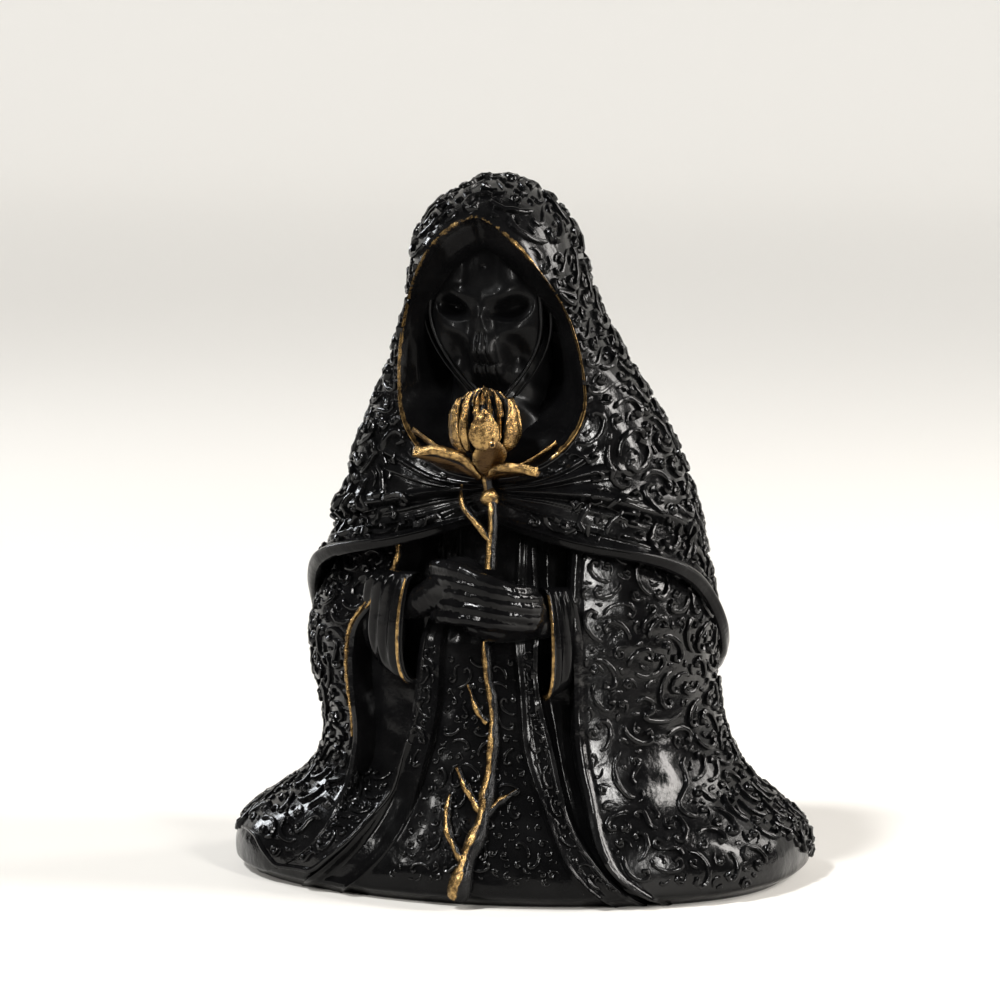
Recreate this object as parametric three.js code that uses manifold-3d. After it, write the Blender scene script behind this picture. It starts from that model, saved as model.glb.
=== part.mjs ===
import * as THREE from 'three';
import { mergeVertices } from 'three/addons/utils/BufferGeometryUtils.js';
import Module from 'manifold-3d';

// A hooded, robed figurine with a skull face and a gilt rose bud, cast in one piece.
// Millimetres. It stands on z = 0, faces -Y and has its left hand toward +X.
// Angles around the body are 0 at the front and grow toward +X.

const wasm = await Module();
wasm.setup();

// Overall sizes
const hoodTop = 141;
const bodyRows = [0, 1.2, 3.4, 6.5, 10, 13.5, 17, 21, 26, 32, 40, 49, 57, 65, 73, 82];

// Cloak: height, half width, front depth, back depth, sideways shift
const cloakSections = [
  [0, 58.8, 42.0, 40.6, -1.0],
  [3, 60.0, 43.2, 42.0, -0.8],
  [7, 60.0, 43.0, 42.0, -0.4],
  [11, 57.6, 41.8, 40.2, 0.2],
  [15, 52.4, 40.2, 38.0, 0.8],
  [19, 46.8, 38.4, 36.2, 1.4],
  [24, 42.8, 36.8, 34.6, 1.6],
  [31, 40.8, 35.0, 33.0, 0.6],
  [42, 41.2, 32.6, 32.0, -1.7],
  [52, 41.4, 30.8, 30.6, -1.7],
  [60, 38.8, 29.6, 28.6, -0.8],
  [68, 35.2, 28.0, 26.0, -0.4],
  [76, 31.0, 26.0, 22.6, -0.2],
  [84, 26.0, 23.0, 18.6, 0],
];
const cloakAxisDrift = 0.022;

// Edges of the layered front, as x = side * (base + spread * exp(-z / reach))
const edges = {
  cloakRight: { side: 1, base: 17.6, spread: 20.0, reach: 10.5, pull: 1.5 },
  bandOutRight: { side: 1, base: 9.6, spread: 25.0, reach: 17.0, pull: 0 },
  bandInRight: { side: 1, base: 5.0, spread: 23.0, reach: 17.5, pull: 0 },
  bandInLeft: { side: -1, base: 7.2, spread: 21.5, reach: 15.0, pull: 0 },
  bandOutLeft: { side: -1, base: 10.6, spread: 28.5, reach: 19.0, pull: 0 },
  cloakLeft: { side: -1, base: 26.6, spread: 24.0, reach: 9.0, pull: 9.0 },
};
const pullFrom = 50;
const pullTo = 68;
const gownInset = 1.2;
const bandInset = 0.1;
const recessInset = 4.2;
const chestInset = 4.6;
const lipProud = 0.9;
const lipWidth = 0.9;
const chestRows = [50, 60];
const backColumns = 28;
const gownColumns = 5;
const gownTop = new THREE.Vector3(0, -2, 84);
const hemRoll = 2.6;
const foldDepthAtHem = 1.7;
const foldDepthAbove = 0.35;
const foldCount = 7;

// Hood and cape: height, half width, front y, back y, squareness of the front
const hoodSections = [
  [141, 0, -12, -12, 2.0],
  [138.9, 7.2, -23, -5, 2.1],
  [135.4, 11.7, -29.2, 0, 2.3],
  [130, 14.8, -33.2, 5, 2.6],
  [125, 16.0, -34.0, 8.3, 2.8],
  [120, 16.8, -34.4, 11, 2.9],
  [115, 18.2, -34.0, 13.3, 2.9],
  [110, 20.1, -32.2, 15.5, 2.9],
  [104, 23.0, -29.4, 18, 2.8],
  [98, 26.7, -27.4, 20.4, 2.6],
  [90, 30.8, -28.0, 23, 2.4],
  [83, 33.2, -29.6, 25, 2.3],
  [75, 35.6, -30.6, 27, 2.3],
  [67, 37.6, -31.4, 29, 2.3],
  [60, 39.0, -32, 30.5, 2.3],
  [45, 41.0, -34, 33.6, 2.3],
  [30, 42.5, -35, 36, 2.3],
];
const hoodHeart = new THREE.Vector3(-1, -9, 72);
const rimApex = 133.4;
const rimWidest = 98.5;
const rimFoot = 83.2;
const rimHalfWidth = 18.6;
const rimShoulder = 0.68;
const rimBead = 0.8;
const hemHeights = [[0, 76], [30, 71], [60, 66.5], [80, 59.5], [100, 46.5], [130, 39], [180, 36.5]];
const hemFlare = 2.2;
const hemFlareLeft = 3.4;
const hemShift = -0.9;
const hemThickness = 2.0;
const hoodRows = [
  0, 0.03, 0.08, 0.13, 0.19, 0.25, 0.31, 0.37, 0.43, 0.49, 0.55, 0.61, 0.67, 0.73, 0.79, 0.86, 0.94, 1,
];

// Folds of the cape: side, height, width, start, and their rows at turns 0.6 to 1
const capeFolds = [
  { side: -1, height: 0.9, width: 0.034, start: 0.58, rows: [0.38, 0.3, 0.21, 0.2, 0.2] },
  { side: -1, height: 2.3, width: 0.05, start: 0.44, rows: [0.7, 0.7, 0.61, 0.42, 0.3] },
  { side: -1, height: 0.9, width: 0.03, start: 0.54, rows: [0.88, 0.885, 0.86, 0.78, 0.55] },
  { side: 1, height: 1.1, width: 0.036, start: 0.62, rows: [0.5, 0.41, 0.31, 0.26, 0.24] },
  { side: 1, height: 1.9, width: 0.046, start: 0.4, rows: [0.72, 0.68, 0.5, 0.36, 0.3] },
  { side: 1, height: 0.9, width: 0.03, start: 0.62, rows: [0.93, 0.92, 0.86, 0.7, 0.5] },
];
const hoodColumns = 44;
const hoodBackSquareness = 2.1;
const hoodLean = -2;
const liningPole = new THREE.Vector3(-1, -2, 108);
const liningRings = [[0.26, 0.72], [0.55, 0.87], [0.8, 0.95], [0.95, 0.985]];
const liningDepth = 3.2;
const underPole = new THREE.Vector3(0, -4, 79);

// Face and cowl
const faceCentre = new THREE.Vector3(-1.9, -19.5, 114.6);
const faceHalfWidth = 11;
const faceUp = 18.2;
const faceDown = 16.2;
const faceBulge = 7.4;
const faceRim = 7;
const faceColumns = 24;
const faceShares = [0.13, 0.25, 0.37, 0.48, 0.59, 0.7, 0.82, 1];
const narrowBelow = 0.5;
const narrowAbove = 0.1;
const faceLean = 0.11;
const socket = { aside: 5.7, height: 1.4, wide: 3.7, high: 2.4, depth: 3.4, tilt: 0.26, square: 1.6 };
const brow = { above: 3.9, wide: 4.6, high: 1.5, proud: 0.7 };
const cheek = { aside: 6.4, height: -3.4, wide: 2.6, high: 1.7, proud: 0.9 };
const cheekHollow = { aside: 6.2, height: -8.6, wide: 2.4, high: 3, proud: -1.6 };
const nose = { wide: 1.9, proud: 1.7, tip: [-9.5, -6], root: [-0.5, 3.8] };
const jaw = { height: -8.6, wide: 3.4, high: 4.4, proud: 1.9 };
const teeth = { height: -9.4, wide: 3.3, high: 2.4, proud: 0.35, pitch: 2.9 };

// Cowl around the face and over the chest: height, half width, front y
const cowlSections = [
  [78, 17, -26],
  [85, 17.4, -26],
  [91, 14.6, -24.6],
  [97, 11.8, -23],
  [103, 11.8, -22.4],
  [109, 12.8, -22.2],
  [116, 13.4, -22],
  [123, 12.8, -21.8],
  [128, 10.6, -20.6],
  [132, 6.6, -18.6],
];
const cowlColumns = 16;
const cowlMiddle = [-0.8, -8];
const cowlDrapes = 9;
const cowlDrapeDepth = 0.5;
const cowlEdgeRadius = 0.5;

// Rose and stem
const budCentre = new THREE.Vector3(0.4, -32.6, 94.7);
const budRadius = 7.4;
const budHeight = 12.6;
const budOutline = [
  [0, 0.55], [0.1, 0.83], [0.22, 0.95], [0.36, 1], [0.55, 0.97],
  [0.72, 0.9], [0.86, 0.79], [0.95, 0.65], [1, 0.5],
];
const petalCount = 5;
const petalTop = 0.9;
const budColumns = 26;
const budRows = [0, 0.14, 0.3, 0.45, 0.58, 0.7, 0.8, 0.9, 1];
const hip = { beside: 1, height: 80, radius: 1.8 };
const freeStem = [[2.5, -34.4, 76], [2.4, -36.4, 66]];
const freeTwig = [[2.4, -35.6, 71.6], [-0.9, -34.4, 75], [-3.9, -32.6, 78.2], [-4.8, -29.6, 81.4]];
const sepalDrop = 11.3;

// Sepals: direction, length, half width, half thickness, rise of the tip, arch, tilt, thicker rim
const sepals = [
  { facing: 66, length: 12.2, half: 3.3, thick: 0.5, rise: 1.8, arch: 0.9, tilt: -22, roll: 0.9 },
  { facing: 116, length: 13.6, half: 3, thick: 0.34, rise: 6.6, arch: -0.5, tilt: -12, roll: 0 },
  { facing: 178, length: 12, half: 3.2, thick: 0.4, rise: 5, arch: 0.8, tilt: 0, roll: 0 },
  { facing: 250, length: 16.4, half: 3, thick: 0.34, rise: 8.6, arch: 0.3, tilt: 25, roll: 0 },
  { facing: 288, length: 13.3, half: 3.6, thick: 0.55, rise: 5, arch: 1.3, tilt: 38, roll: 1 },
  { facing: 21, length: 6.8, half: 3.4, thick: 0.5, rise: 8.6, arch: -0.6, tilt: 0, roll: 0, fullAt: 1.8 },
];
const stemPath = [
  [-2.3, 2.6, 2.2], [-0.4, 10, 1.9], [1.5, 16, 1.6], [2.3, 23, 1.35], [2.8, 31, 1.1],
  [2.4, 39, 1.0], [1.2, 44, 0.95], [0.4, 51, 0.9],
];
const twigs = [
  [[1.6, 35.6, 0.9], [-0.6, 37.6, 0.75], [-2.9, 42.6, 0.4]],
  [[1.8, 17.6, 1.0], [4.6, 20.4, 0.85], [7.8, 22.6, 0.4]],
  [[1.3, 18.6, 1.0], [-1.6, 22.2, 0.9], [-4.3, 26.6, 0.6]],
  [[-1.0, 9.2, 1.1], [-4.4, 13.4, 0.95], [-5.6, 17.4, 0.85], [-5.4, 21.4, 0.6]],
];

// Sleeves: middle of each cuff, and how far the elbow lies outside it
const cuffs = {
  left: { at: [11.4, -30.8, 51.2], reach: 7.6 },
  right: { at: [13.6, -30.8, 53.4], reach: 13.4 },
};
const cuffHigh = 10.9;
const cuffWide = 3.8;
const cuffEdgeRadius = 0.55;
const sleeveColumns = 14;

// Stations of a sleeve from the elbow to the cuff and back into its mouth
const sleeveStations = [
  { back: 1, high: 7, wide: 5, out: [-0.82, 0.57] },
  { back: 0.55, high: 8.6, wide: 4.6, out: [-0.82, 0.57] },
  { back: 0.22, high: 10, wide: 4.1, out: [-0.76, 0.65] },
  { back: 0, high: cuffHigh, wide: cuffWide, out: [-0.7, 0.72] },
  { back: 0.01, high: 10.2, wide: 3, out: [-0.7, 0.72] },
  { back: 0.18, high: 8.4, wide: 2.2, out: [-0.76, 0.65] },
];

// Hands: palms as eggs, wrists as short rods, and five fingers at their heights
const palms = [
  { at: [-4.4, -32.8, 61.6], size: [6.2, 4.2, 6.2] },
  { at: [4, -34, 56.2], size: [8.4, 5.2, 4.9] },
];
const wrists = [
  { path: [[-17, -28.6, 56.4], [-12.5, -30.6, 58.6], [-5, -32.6, 62.6]], radii: [2.2, 3.2, 4.8] },
  { path: [[14.6, -29.2, 53.6], [11.4, -31, 54.8], [6, -32.8, 56.4]], radii: [1.9, 2.8, 4.6] },
];

// Fingers: height at the knuckles, droop toward the tip, shift along x, size
const fingers = [
  { z: 66.3, droop: 3.8, shift: -0.9, size: 0.94 },
  { z: 63.7, droop: 2.7, shift: 0, size: 1.02 },
  { z: 61.2, droop: 1.9, shift: 0.5, size: 1 },
  { z: 58.7, droop: 1.2, shift: 0.2, size: 0.96 },
  { z: 56.3, droop: 0.5, shift: -0.8, size: 0.86 },
];
const fingerPath = [
  [-8.6, -33.4, -0.4], [-5.4, -36.8, 0.1], [-1, -38.7, 0.3],
  [4, -39.3, 0.1], [8.8, -37.7, -0.4], [11.3, -33.8, -0.9],
];
const fingerRadii = [1.3, 1.6, 1.6, 1.5, 1.45, 1.2];

// Raised scrolls
const scrollWidth = 1.25;
const scrollHeight = 0.95;
const scrollRoot = 0.6;
const scrollSearch = 4;
const scrollSteps = 7;
const hoodScrollGrid = [3, 2];
const cloakScrollGrid = [2, 3];
const cloakScrollTop = 60;

// Kinds of scroll: length and the turn in radians at its start and end
const scrollKinds = [[21, 0.8, 6.4], [20, 4.2, -4.2], [21, -6.4, -0.8]];

// Departures allowed when flat stretches are thinned out
const clothTolerance = 0.45;
const plainTolerance = 0.2;
const carvedTolerance = 0.1;

const clamp = (value, low, high) => Math.min(high, Math.max(low, value));
const mix = (a, b, share) => a + (b - a) * share;
const smooth = (a, b, value) => {
  const s = clamp((value - a) / (b - a), 0, 1);
  return s * s * (3 - 2 * s);
};
const bump = (distance, width) => Math.exp(-(distance * distance) / (width * width));
const radians = Math.PI / 180;

// Reads one column of a table with a smooth curve through its rows
function readTable(table, key, column) {
  const last = table.length - 1;
  let i = 0;
  while (i < last - 1 && key > table[i + 1][0]) i += 1;
  const slopeAt = (k) => {
    const a = table[Math.max(k - 1, 0)];
    const b = table[Math.min(k + 1, last)];
    return (b[column] - a[column]) / (b[0] - a[0]);
  };
  const span = table[i + 1][0] - table[i][0];
  const s = clamp((key - table[i][0]) / span, 0, 1);
  const s2 = s * s;
  const s3 = s2 * s;
  return (2 * s3 - 3 * s2 + 1) * table[i][column] + (s3 - 2 * s2 + s) * span * slopeAt(i)
    + (3 * s2 - 2 * s3) * table[i + 1][column] + (s3 - s2) * span * slopeAt(i + 1);
}

// Closed solid from points and triangles, turned the right way out
function solidFrom(points, triangles) {
  let volume = 0;
  for (const [a, b, c] of triangles) {
    volume += points[a].dot(new THREE.Vector3().crossVectors(points[b], points[c]));
  }
  const faces = volume < 0 ? triangles.map(([a, b, c]) => [a, c, b]) : triangles;
  const vertProperties = new Float32Array(points.flatMap((p) => [p.x, p.y, p.z]));
  const triVerts = new Uint32Array(faces.flat());
  return new wasm.Manifold(new wasm.Mesh({ numProp: 3, vertProperties, triVerts }));
}

const middleOf = (ring) => ring
  .reduce((sum, p) => sum.add(p), new THREE.Vector3())
  .multiplyScalar(1 / ring.length);

// Solid skinned over closed rings, with a pole at each end
function loft(rings, startPole, endPole) {
  const count = rings[0].length;
  const points = rings.flat();
  const first = points.push(startPole ?? middleOf(rings[0])) - 1;
  const last = points.push(endPole ?? middleOf(rings[rings.length - 1])) - 1;
  const triangles = [];
  for (let j = 0; j < count; j += 1) {
    const next = (j + 1) % count;
    triangles.push([first, next, j]);
    const end = (rings.length - 1) * count;
    triangles.push([last, end + j, end + next]);
    for (let i = 0; i < rings.length - 1; i += 1) {
      const a = i * count + j;
      const b = i * count + next;
      triangles.push([a, b, b + count], [a, b + count, a + count]);
    }
  }
  return solidFrom(points, triangles);
}

// Rod along a path; the section may be flattened along the given direction
function rod(path, radii, sides, flatten = 1, up = new THREE.Vector3(0, 0, 1)) {
  const rings = path.map((point, i) => {
    const ahead = path[Math.min(i + 1, path.length - 1)];
    const behind = path[Math.max(i - 1, 0)];
    const along = new THREE.Vector3().subVectors(ahead, behind).normalize();
    const across = new THREE.Vector3().crossVectors(along, up).normalize();
    const lift = new THREE.Vector3().crossVectors(across, along);
    return Array.from({ length: sides }, (_, k) => {
      const turn = (k / sides) * Math.PI * 2;
      return point.clone()
        .addScaledVector(across, Math.cos(turn) * radii[i])
        .addScaledVector(lift, Math.sin(turn) * radii[i] * flatten);
    });
  });
  return loft(rings);
}

function egg(centre, sizes, columns, rows) {
  const rings = [];
  for (let i = 1; i < rows; i += 1) {
    const up = (i / rows) * Math.PI;
    rings.push(Array.from({ length: columns }, (_, j) => {
      const turn = (j / columns) * Math.PI * 2;
      return new THREE.Vector3(
        centre.x + sizes.x * Math.sin(up) * Math.cos(turn),
        centre.y + sizes.y * Math.sin(up) * Math.sin(turn),
        centre.z + sizes.z * Math.cos(up),
      );
    }));
  }
  const top = centre.clone().add(new THREE.Vector3(0, 0, sizes.z));
  const bottom = centre.clone().add(new THREE.Vector3(0, 0, -sizes.z));
  return loft(rings, top, bottom);
}

// Cloak, gown and bands

function edgeAngle(edge, z) {
  const away = edge.base + edge.spread * Math.exp(-z / edge.reach);
  const x = away - edge.pull * smooth(pullFrom, pullTo, z);
  return edge.side * Math.asin(clamp(x / readTable(cloakSections, z, 1), -0.95, 0.95));
}

function cloakPoint(angle, z, inset) {
  const half = readTable(cloakSections, z, 1);
  const front = Math.cos(angle) > 0;
  const depth = readTable(cloakSections, z, front ? 2 : 3);
  const normal = new THREE.Vector3(Math.sin(angle) / half, -Math.cos(angle) / depth, 0).normalize();
  const point = new THREE.Vector3(half * Math.sin(angle), -depth * Math.cos(angle), z);
  point.x += readTable(cloakSections, z, 4) * (1 - Math.exp(-2 * Math.sin(angle) ** 2));
  point.y -= cloakAxisDrift * z;
  return point.addScaledVector(normal, -inset);
}

// Soft folds that deepen toward the hem
function foldInset(angle, z) {
  const depth = mix(foldDepthAtHem, foldDepthAbove, smooth(2, 46, z));
  const wave = Math.cos(foldCount * angle + 0.9 * Math.sin(3 * angle) + 0.02 * z);
  return depth * (0.5 - 0.5 * wave);
}

function hemInset(z) {
  return hemRoll * (1 - smooth(0, 3.4, z)) ** 2;
}

function spread(from, to, count, inset) {
  return Array.from({ length: count }, (_, k) => {
    const share = (k + 1) / (count + 1);
    return { angle: mix(from, to, share), inset: typeof inset === 'number' ? inset : inset(share) };
  });
}

// The columns of one body ring: gown, band, recess and cloak with their lips
function bodyColumns(z) {
  const at = Object.fromEntries(Object.entries(edges).map(([name, edge]) => [name, edgeAngle(edge, z)]));
  const half = readTable(cloakSections, z, 1);
  const step = lipWidth / half;
  const chest = smooth(...chestRows, z);
  const shallow = mix(0.45, 1, smooth(0, 12, z));
  const gown = mix(gownInset, chestInset, chest);
  const band = mix(bandInset, chestInset - 0.8, chest);
  const recess = recessInset * shallow + chest * 1.4;
  const side = (s, inner, outer, cloak) => [
    { angle: inner, inset: gown },
    { angle: inner + s * step * 0.4, inset: band - 0.5 },
    { angle: inner + s * step * 1.6, inset: band },
    ...spread(inner + s * step, outer, 2, band + 0.3),
    { angle: outer - s * step, inset: band - 0.3 },
    { angle: outer, inset: band + 0.4 },
    { angle: outer + s * step * 0.6, inset: recess * 0.85 },
    ...spread(outer, cloak, 2, recess),
    { angle: cloak - s * step * 0.4, inset: recess },
    { angle: cloak, inset: -lipProud * 0.6 },
    { angle: cloak + s * step, inset: -lipProud },
    { angle: cloak + s * step * 2.6, inset: 0 },
  ];
  const right = side(1, at.bandInRight, at.bandOutRight, at.cloakRight);
  const left = side(-1, at.bandInLeft, at.bandOutLeft, at.cloakLeft).reverse();
  const from = right[right.length - 1].angle;
  const to = left[0].angle + Math.PI * 2;
  const back = spread(from, to, backColumns, (share) => foldInset(mix(from, to, share), z)
    * Math.sin(Math.PI * share) ** 0.3);
  const middle = spread(at.bandInLeft, at.bandInRight, gownColumns, (share) => gown
    - 0.5 * Math.sin(Math.PI * share));
  return [...right, ...back, ...left, ...middle];
}

function makeBody() {
  const rings = bodyRows.map((z) => bodyColumns(z)
    .map(({ angle, inset }) => cloakPoint(angle, z, inset + hemInset(z))));
  return loft(rings, new THREE.Vector3(0, 0, 0), gownTop);
}

// Hood and cape

const hoodTable = hoodSections.map(([z, ...rest]) => [Math.sqrt(hoodTop - z), ...rest]);

function hoodSection(z) {
  const key = Math.sqrt(Math.max(hoodTop - z, 0));
  const [half, front, back, square] = [1, 2, 3, 4].map((column) => readTable(hoodTable, key, column));
  const lean = smooth(60, 141, z);
  const x = hoodLean * lean * lean + hemShift * (1 - smooth(56, 76, z));
  return { half, front, back, square, x, y: mix(-1, -12, lean) };
}

function insideHood(point) {
  if (point.z >= hoodTop) return false;
  const s = hoodSection(point.z);
  const ahead = point.y < s.y;
  const power = ahead ? s.square : hoodBackSquareness;
  const across = Math.abs(point.x - s.x) / s.half;
  const along = Math.abs(point.y - s.y) / Math.abs((ahead ? s.front : s.back) - s.y);
  return across ** power + along ** power < 1;
}

// Farthest point of the hood's form from its heart in one direction
function hoodReach(direction) {
  let near = 0;
  let far = 130;
  for (let i = 0; i < 40; i += 1) {
    const middle = (near + far) / 2;
    if (insideHood(hoodHeart.clone().addScaledVector(direction, middle))) near = middle;
    else far = middle;
  }
  return near;
}

// Opening of the hood: a pointed arch above, a rounded foot below
function rimPoint(turn) {
  const share = Math.abs(turn);
  const side = turn < 0 ? -1 : 1;
  let z;
  let across;
  if (share < rimShoulder) {
    const drop = (share / rimShoulder) ** 1.4;
    z = mix(rimApex, rimWidest, drop);
    across = Math.sin((Math.PI / 2) * drop ** 0.65);
  } else {
    const round = ((share - rimShoulder) / (1 - rimShoulder)) * (Math.PI / 2);
    z = rimWidest - (rimWidest - rimFoot) * Math.sin(round) ** 0.95;
    across = Math.cos(round) ** 0.95;
  }
  const s = hoodSection(z);
  const x = side * across * rimHalfWidth;
  const ratio = clamp(Math.abs(x) / s.half, 0, 1);
  const y = s.y + (s.front - s.y) * (1 - ratio ** s.square) ** (1 / s.square);
  return new THREE.Vector3(x + s.x, y, z);
}

function hemPoint(turn) {
  const around = 180 * (1 - Math.abs(turn)) ** 0.9;
  const angle = around * radians * (turn < 0 ? -1 : 1);
  const z = readTable(hemHeights, around, 1);
  const s = hoodSection(z);
  const depth = Math.abs((Math.cos(angle) > 0 ? s.front : s.back) - s.y);
  const power = Math.cos(angle) > 0 ? s.square : hoodBackSquareness;
  const reach = (Math.abs(Math.sin(angle) / s.half) ** power
    + Math.abs(Math.cos(angle) / depth) ** power) ** (-1 / power);
  return new THREE.Vector3(s.x + reach * Math.sin(angle), s.y - reach * Math.cos(angle), z);
}

// Direction part way from the rim to the hem along a great circle
function hoodDirection(turn, share) {
  const from = rimPoint(turn).sub(hoodHeart).normalize();
  const to = hemPoint(turn).sub(hoodHeart).normalize();
  const arc = Math.acos(clamp(from.dot(to), -1, 1));
  return from.multiplyScalar(Math.sin((1 - share) * arc))
    .addScaledVector(to, Math.sin(share * arc))
    .normalize();
}

// Ridge along a row of the cape, steeper below than above
function foldLift(turn, share, { side, height, width, start, rows }) {
  const aside = turn * side;
  const row = readTable(rows.map((at, k) => [0.6 + 0.1 * k, at]), aside, 1);
  const below = share - row;
  const strength = smooth(start, start + 0.16, aside);
  return height * strength * bump(below, width * (below > 0 ? 0.62 : 1.5));
}

// Folds run over the shoulders and meet at the throat; the hem flares and the rim has a bead
function hoodLift(turn, share) {
  const fade = 1 - 0.6 * smooth(0.92, 1, Math.abs(turn));
  const folds = capeFolds.reduce((sum, fold) => sum + foldLift(turn, share, fold), 0);
  const flareSize = mix(hemFlare, hemFlareLeft, smooth(0.2, 0.45, -turn));
  const flare = flareSize * smooth(0.86, 1, share) * mix(0.3, 1, 1 - smooth(0.7, 1, Math.abs(turn)));
  const bead = rimBead * bump(share, 0.02);
  return folds * fade + flare + bead;
}

function hoodPoint(turn, share) {
  const direction = hoodDirection(turn, share);
  const reach = hoodReach(direction) + hoodLift(turn, share);
  return hoodHeart.clone().addScaledVector(direction, reach);
}

const hoodTurns = Array.from({ length: hoodColumns }, (_, j) => 1 - (2 * j) / hoodColumns);

function makeHood() {
  const outer = hoodRows.map((share) => hoodTurns.map((turn) => hoodPoint(turn, share)));
  const rim = outer[0];
  const hem = outer[outer.length - 1];
  const lining = liningRings.map(([size, forward]) => rim.map((p) => new THREE.Vector3(
    mix(liningPole.x, p.x, size),
    mix(liningPole.y, p.y, 1 - (1 - forward) * liningDepth),
    mix(liningPole.z, p.z, size),
  )));
  const shrink = (p, size, z) => p.clone().lerp(underPole, 1 - size).setZ(z);
  const under = [
    hem.map((p) => shrink(p, 0.95, p.z + 0.4 * hemThickness)),
    hem.map((p) => shrink(p, 0.86, p.z + 2.5 * hemThickness)),
    hem.map((p) => shrink(p, 0.45, mix(underPole.z, p.z, 0.3))),
  ];
  return loft([...lining, ...outer, ...under], liningPole, underPole);
}

// Face: a skull mask as a height over its own outline

// Rounded bump or hollow of the face; a higher power gives it a flatter top
function spot(x, z, { aside = 0, height, wide, high, proud }, power = 1) {
  const across = Math.abs((x - aside) / wide) ** (2 * power);
  const along = Math.abs((z - height) / high) ** (2 * power);
  return proud * Math.exp(-across - along);
}

function faceDepth(x, z) {
  const across = x / faceHalfWidth;
  const up = z / (z > 0 ? faceUp : faceDown);
  const round = Math.sqrt(Math.max(0, 1 - 0.82 * across * across - 0.75 * up * up));
  const aside = Math.abs(x);
  const [cos, sin] = [Math.cos(socket.tilt), Math.sin(socket.tilt)];
  const u = (aside - socket.aside) * cos + (z - socket.height) * sin;
  const v = -(aside - socket.aside) * sin + (z - socket.height) * cos;
  const hole = Math.exp(-(((u / socket.wide) ** 2 + (v / socket.high) ** 2) ** socket.square));
  const ridge = brow.proud * bump(u, brow.wide) * bump(v - brow.above, brow.high);
  const bridge = nose.proud * bump(x, nose.wide) * smooth(...nose.tip, z) * (1 - smooth(...nose.root, z));
  return faceBulge * round - socket.depth * hole + ridge + bridge
    + spot(aside, z, cheek) + spot(aside, z, cheekHollow)
    + spot(x, z, jaw, 2) + Math.cos(x * teeth.pitch) * spot(x, z, teeth, 2);
}

// Outline of the face, narrower below than above
function faceOutline(turn, width, up, down) {
  const low = Math.sin(turn) < 0;
  const narrow = 1 - (low ? narrowBelow : narrowAbove) * Math.sin(turn) ** 2;
  return [width * Math.cos(turn) * narrow, (low ? down : up) * Math.sin(turn)];
}

// The chin stands a little toward the figure's left
const leanAt = (z) => faceLean * Math.max(-z, 0);

function makeFace() {
  const rings = faceShares.map((share) => Array.from({ length: faceColumns }, (_, j) => {
    const turn = (j / faceColumns) * Math.PI * 2;
    const [x, z] = faceOutline(turn, share * faceHalfWidth, share * faceUp, share * faceDown);
    return new THREE.Vector3(x + leanAt(z), -faceDepth(x, z), z).add(faceCentre);
  }));
  const back = rings[rings.length - 1].map((p) => new THREE.Vector3(p.x, faceCentre.y + faceRim, p.z));
  const tip = new THREE.Vector3(0, -faceDepth(0, 0), 0).add(faceCentre);
  return loft([...rings, back], tip);
}

// Inner cowl that frames the face and falls over the chest
function makeCowl() {
  const [middleX, middleY] = cowlMiddle;
  return loft(cowlSections.map(([z, half, front]) => Array.from({ length: cowlColumns }, (_, j) => {
    const turn = (j / cowlColumns) * Math.PI * 2;
    const drape = cowlDrapeDepth * (1 - smooth(92, 104, z)) * Math.cos(cowlDrapes * turn);
    const depth = Math.cos(turn) > 0 ? front - middleY - drape : front * 0.3;
    return new THREE.Vector3(
      middleX + (half + drape) * Math.sin(turn),
      middleY + depth * Math.cos(turn),
      z,
    );
  })));
}

// Rolled edge of the cowl, open under the chin
function cowlEdge() {
  const steps = 15;
  const points = Array.from({ length: steps + 1 }, (_, k) => {
    const turn = ((k / steps) * 340 - 80) * radians;
    const [x, z] = faceOutline(turn, faceHalfWidth + 0.3, faceUp + 0.1, faceDown + 1.1);
    const forward = 3.4 + 1.2 * Math.min(Math.sin(turn), 0) ** 2;
    return new THREE.Vector3(x + leanAt(z), -forward, z).add(faceCentre);
  });
  return rod(points, points.map(() => cowlEdgeRadius), 5, 1, new THREE.Vector3(0, 1, 0));
}

// Bell sleeve with a long drop-shaped cuff, hollow at its mouth
function sleeveStation(side, { back, high, wide, out }) {
  const { at, reach } = side > 0 ? cuffs.left : cuffs.right;
  return (turn) => {
    const drop = Math.cos(turn);
    const sine = Math.sin(turn);
    const away = wide * Math.sign(sine) * Math.abs(sine) ** 0.7 * (1 - 0.2 * drop);
    return new THREE.Vector3(
      side * (at[0] + reach * Math.sqrt(back) + out[0] * away),
      at[1] + 20 * back * (1 - 0.35 * smooth(0.1, 1, drop)) + out[1] * away,
      at[2] + 3 * back + high * drop,
    );
  };
}

function makeSleeve(side) {
  return loft(sleeveStations.map((station) => {
    const at = sleeveStation(side, station);
    return Array.from({ length: sleeveColumns }, (_, j) => at((j / sleeveColumns) * Math.PI * 2));
  }));
}

function cuffEdge(side) {
  const at = sleeveStation(side, { back: 0.005, high: cuffHigh, wide: cuffWide, out: [-0.7, 0.72] });
  const points = Array.from({ length: 9 }, (_, k) => at(-(0.12 + (k / 8) * 0.9) * Math.PI));
  return rod(points, points.map(() => cuffEdgeRadius), 5);
}

const vectors = (list) => list.map((numbers) => new THREE.Vector3(...numbers));

// Hands, one over the other, with the fingers of the upper one wrapped round the stem
function makeHands() {
  const rods = fingers.map(({ z, droop, shift, size }) => rod(
    fingerPath.map(([x, y, rise]) => new THREE.Vector3(x + shift, y, z + rise - droop * smooth(-8, 11, x))),
    fingerRadii.map((radius) => radius * size),
    5,
  ));
  return [
    ...palms.map(({ at, size }) => egg(new THREE.Vector3(...at), new THREE.Vector3(...size), 10, 6)),
    ...wrists.map(({ path, radii }) => rod(vectors(path), radii, 9, 1.1)),
    ...rods,
  ];
}

// Rose bud: five almond petals in relief, with inner petals showing between their points

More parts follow.
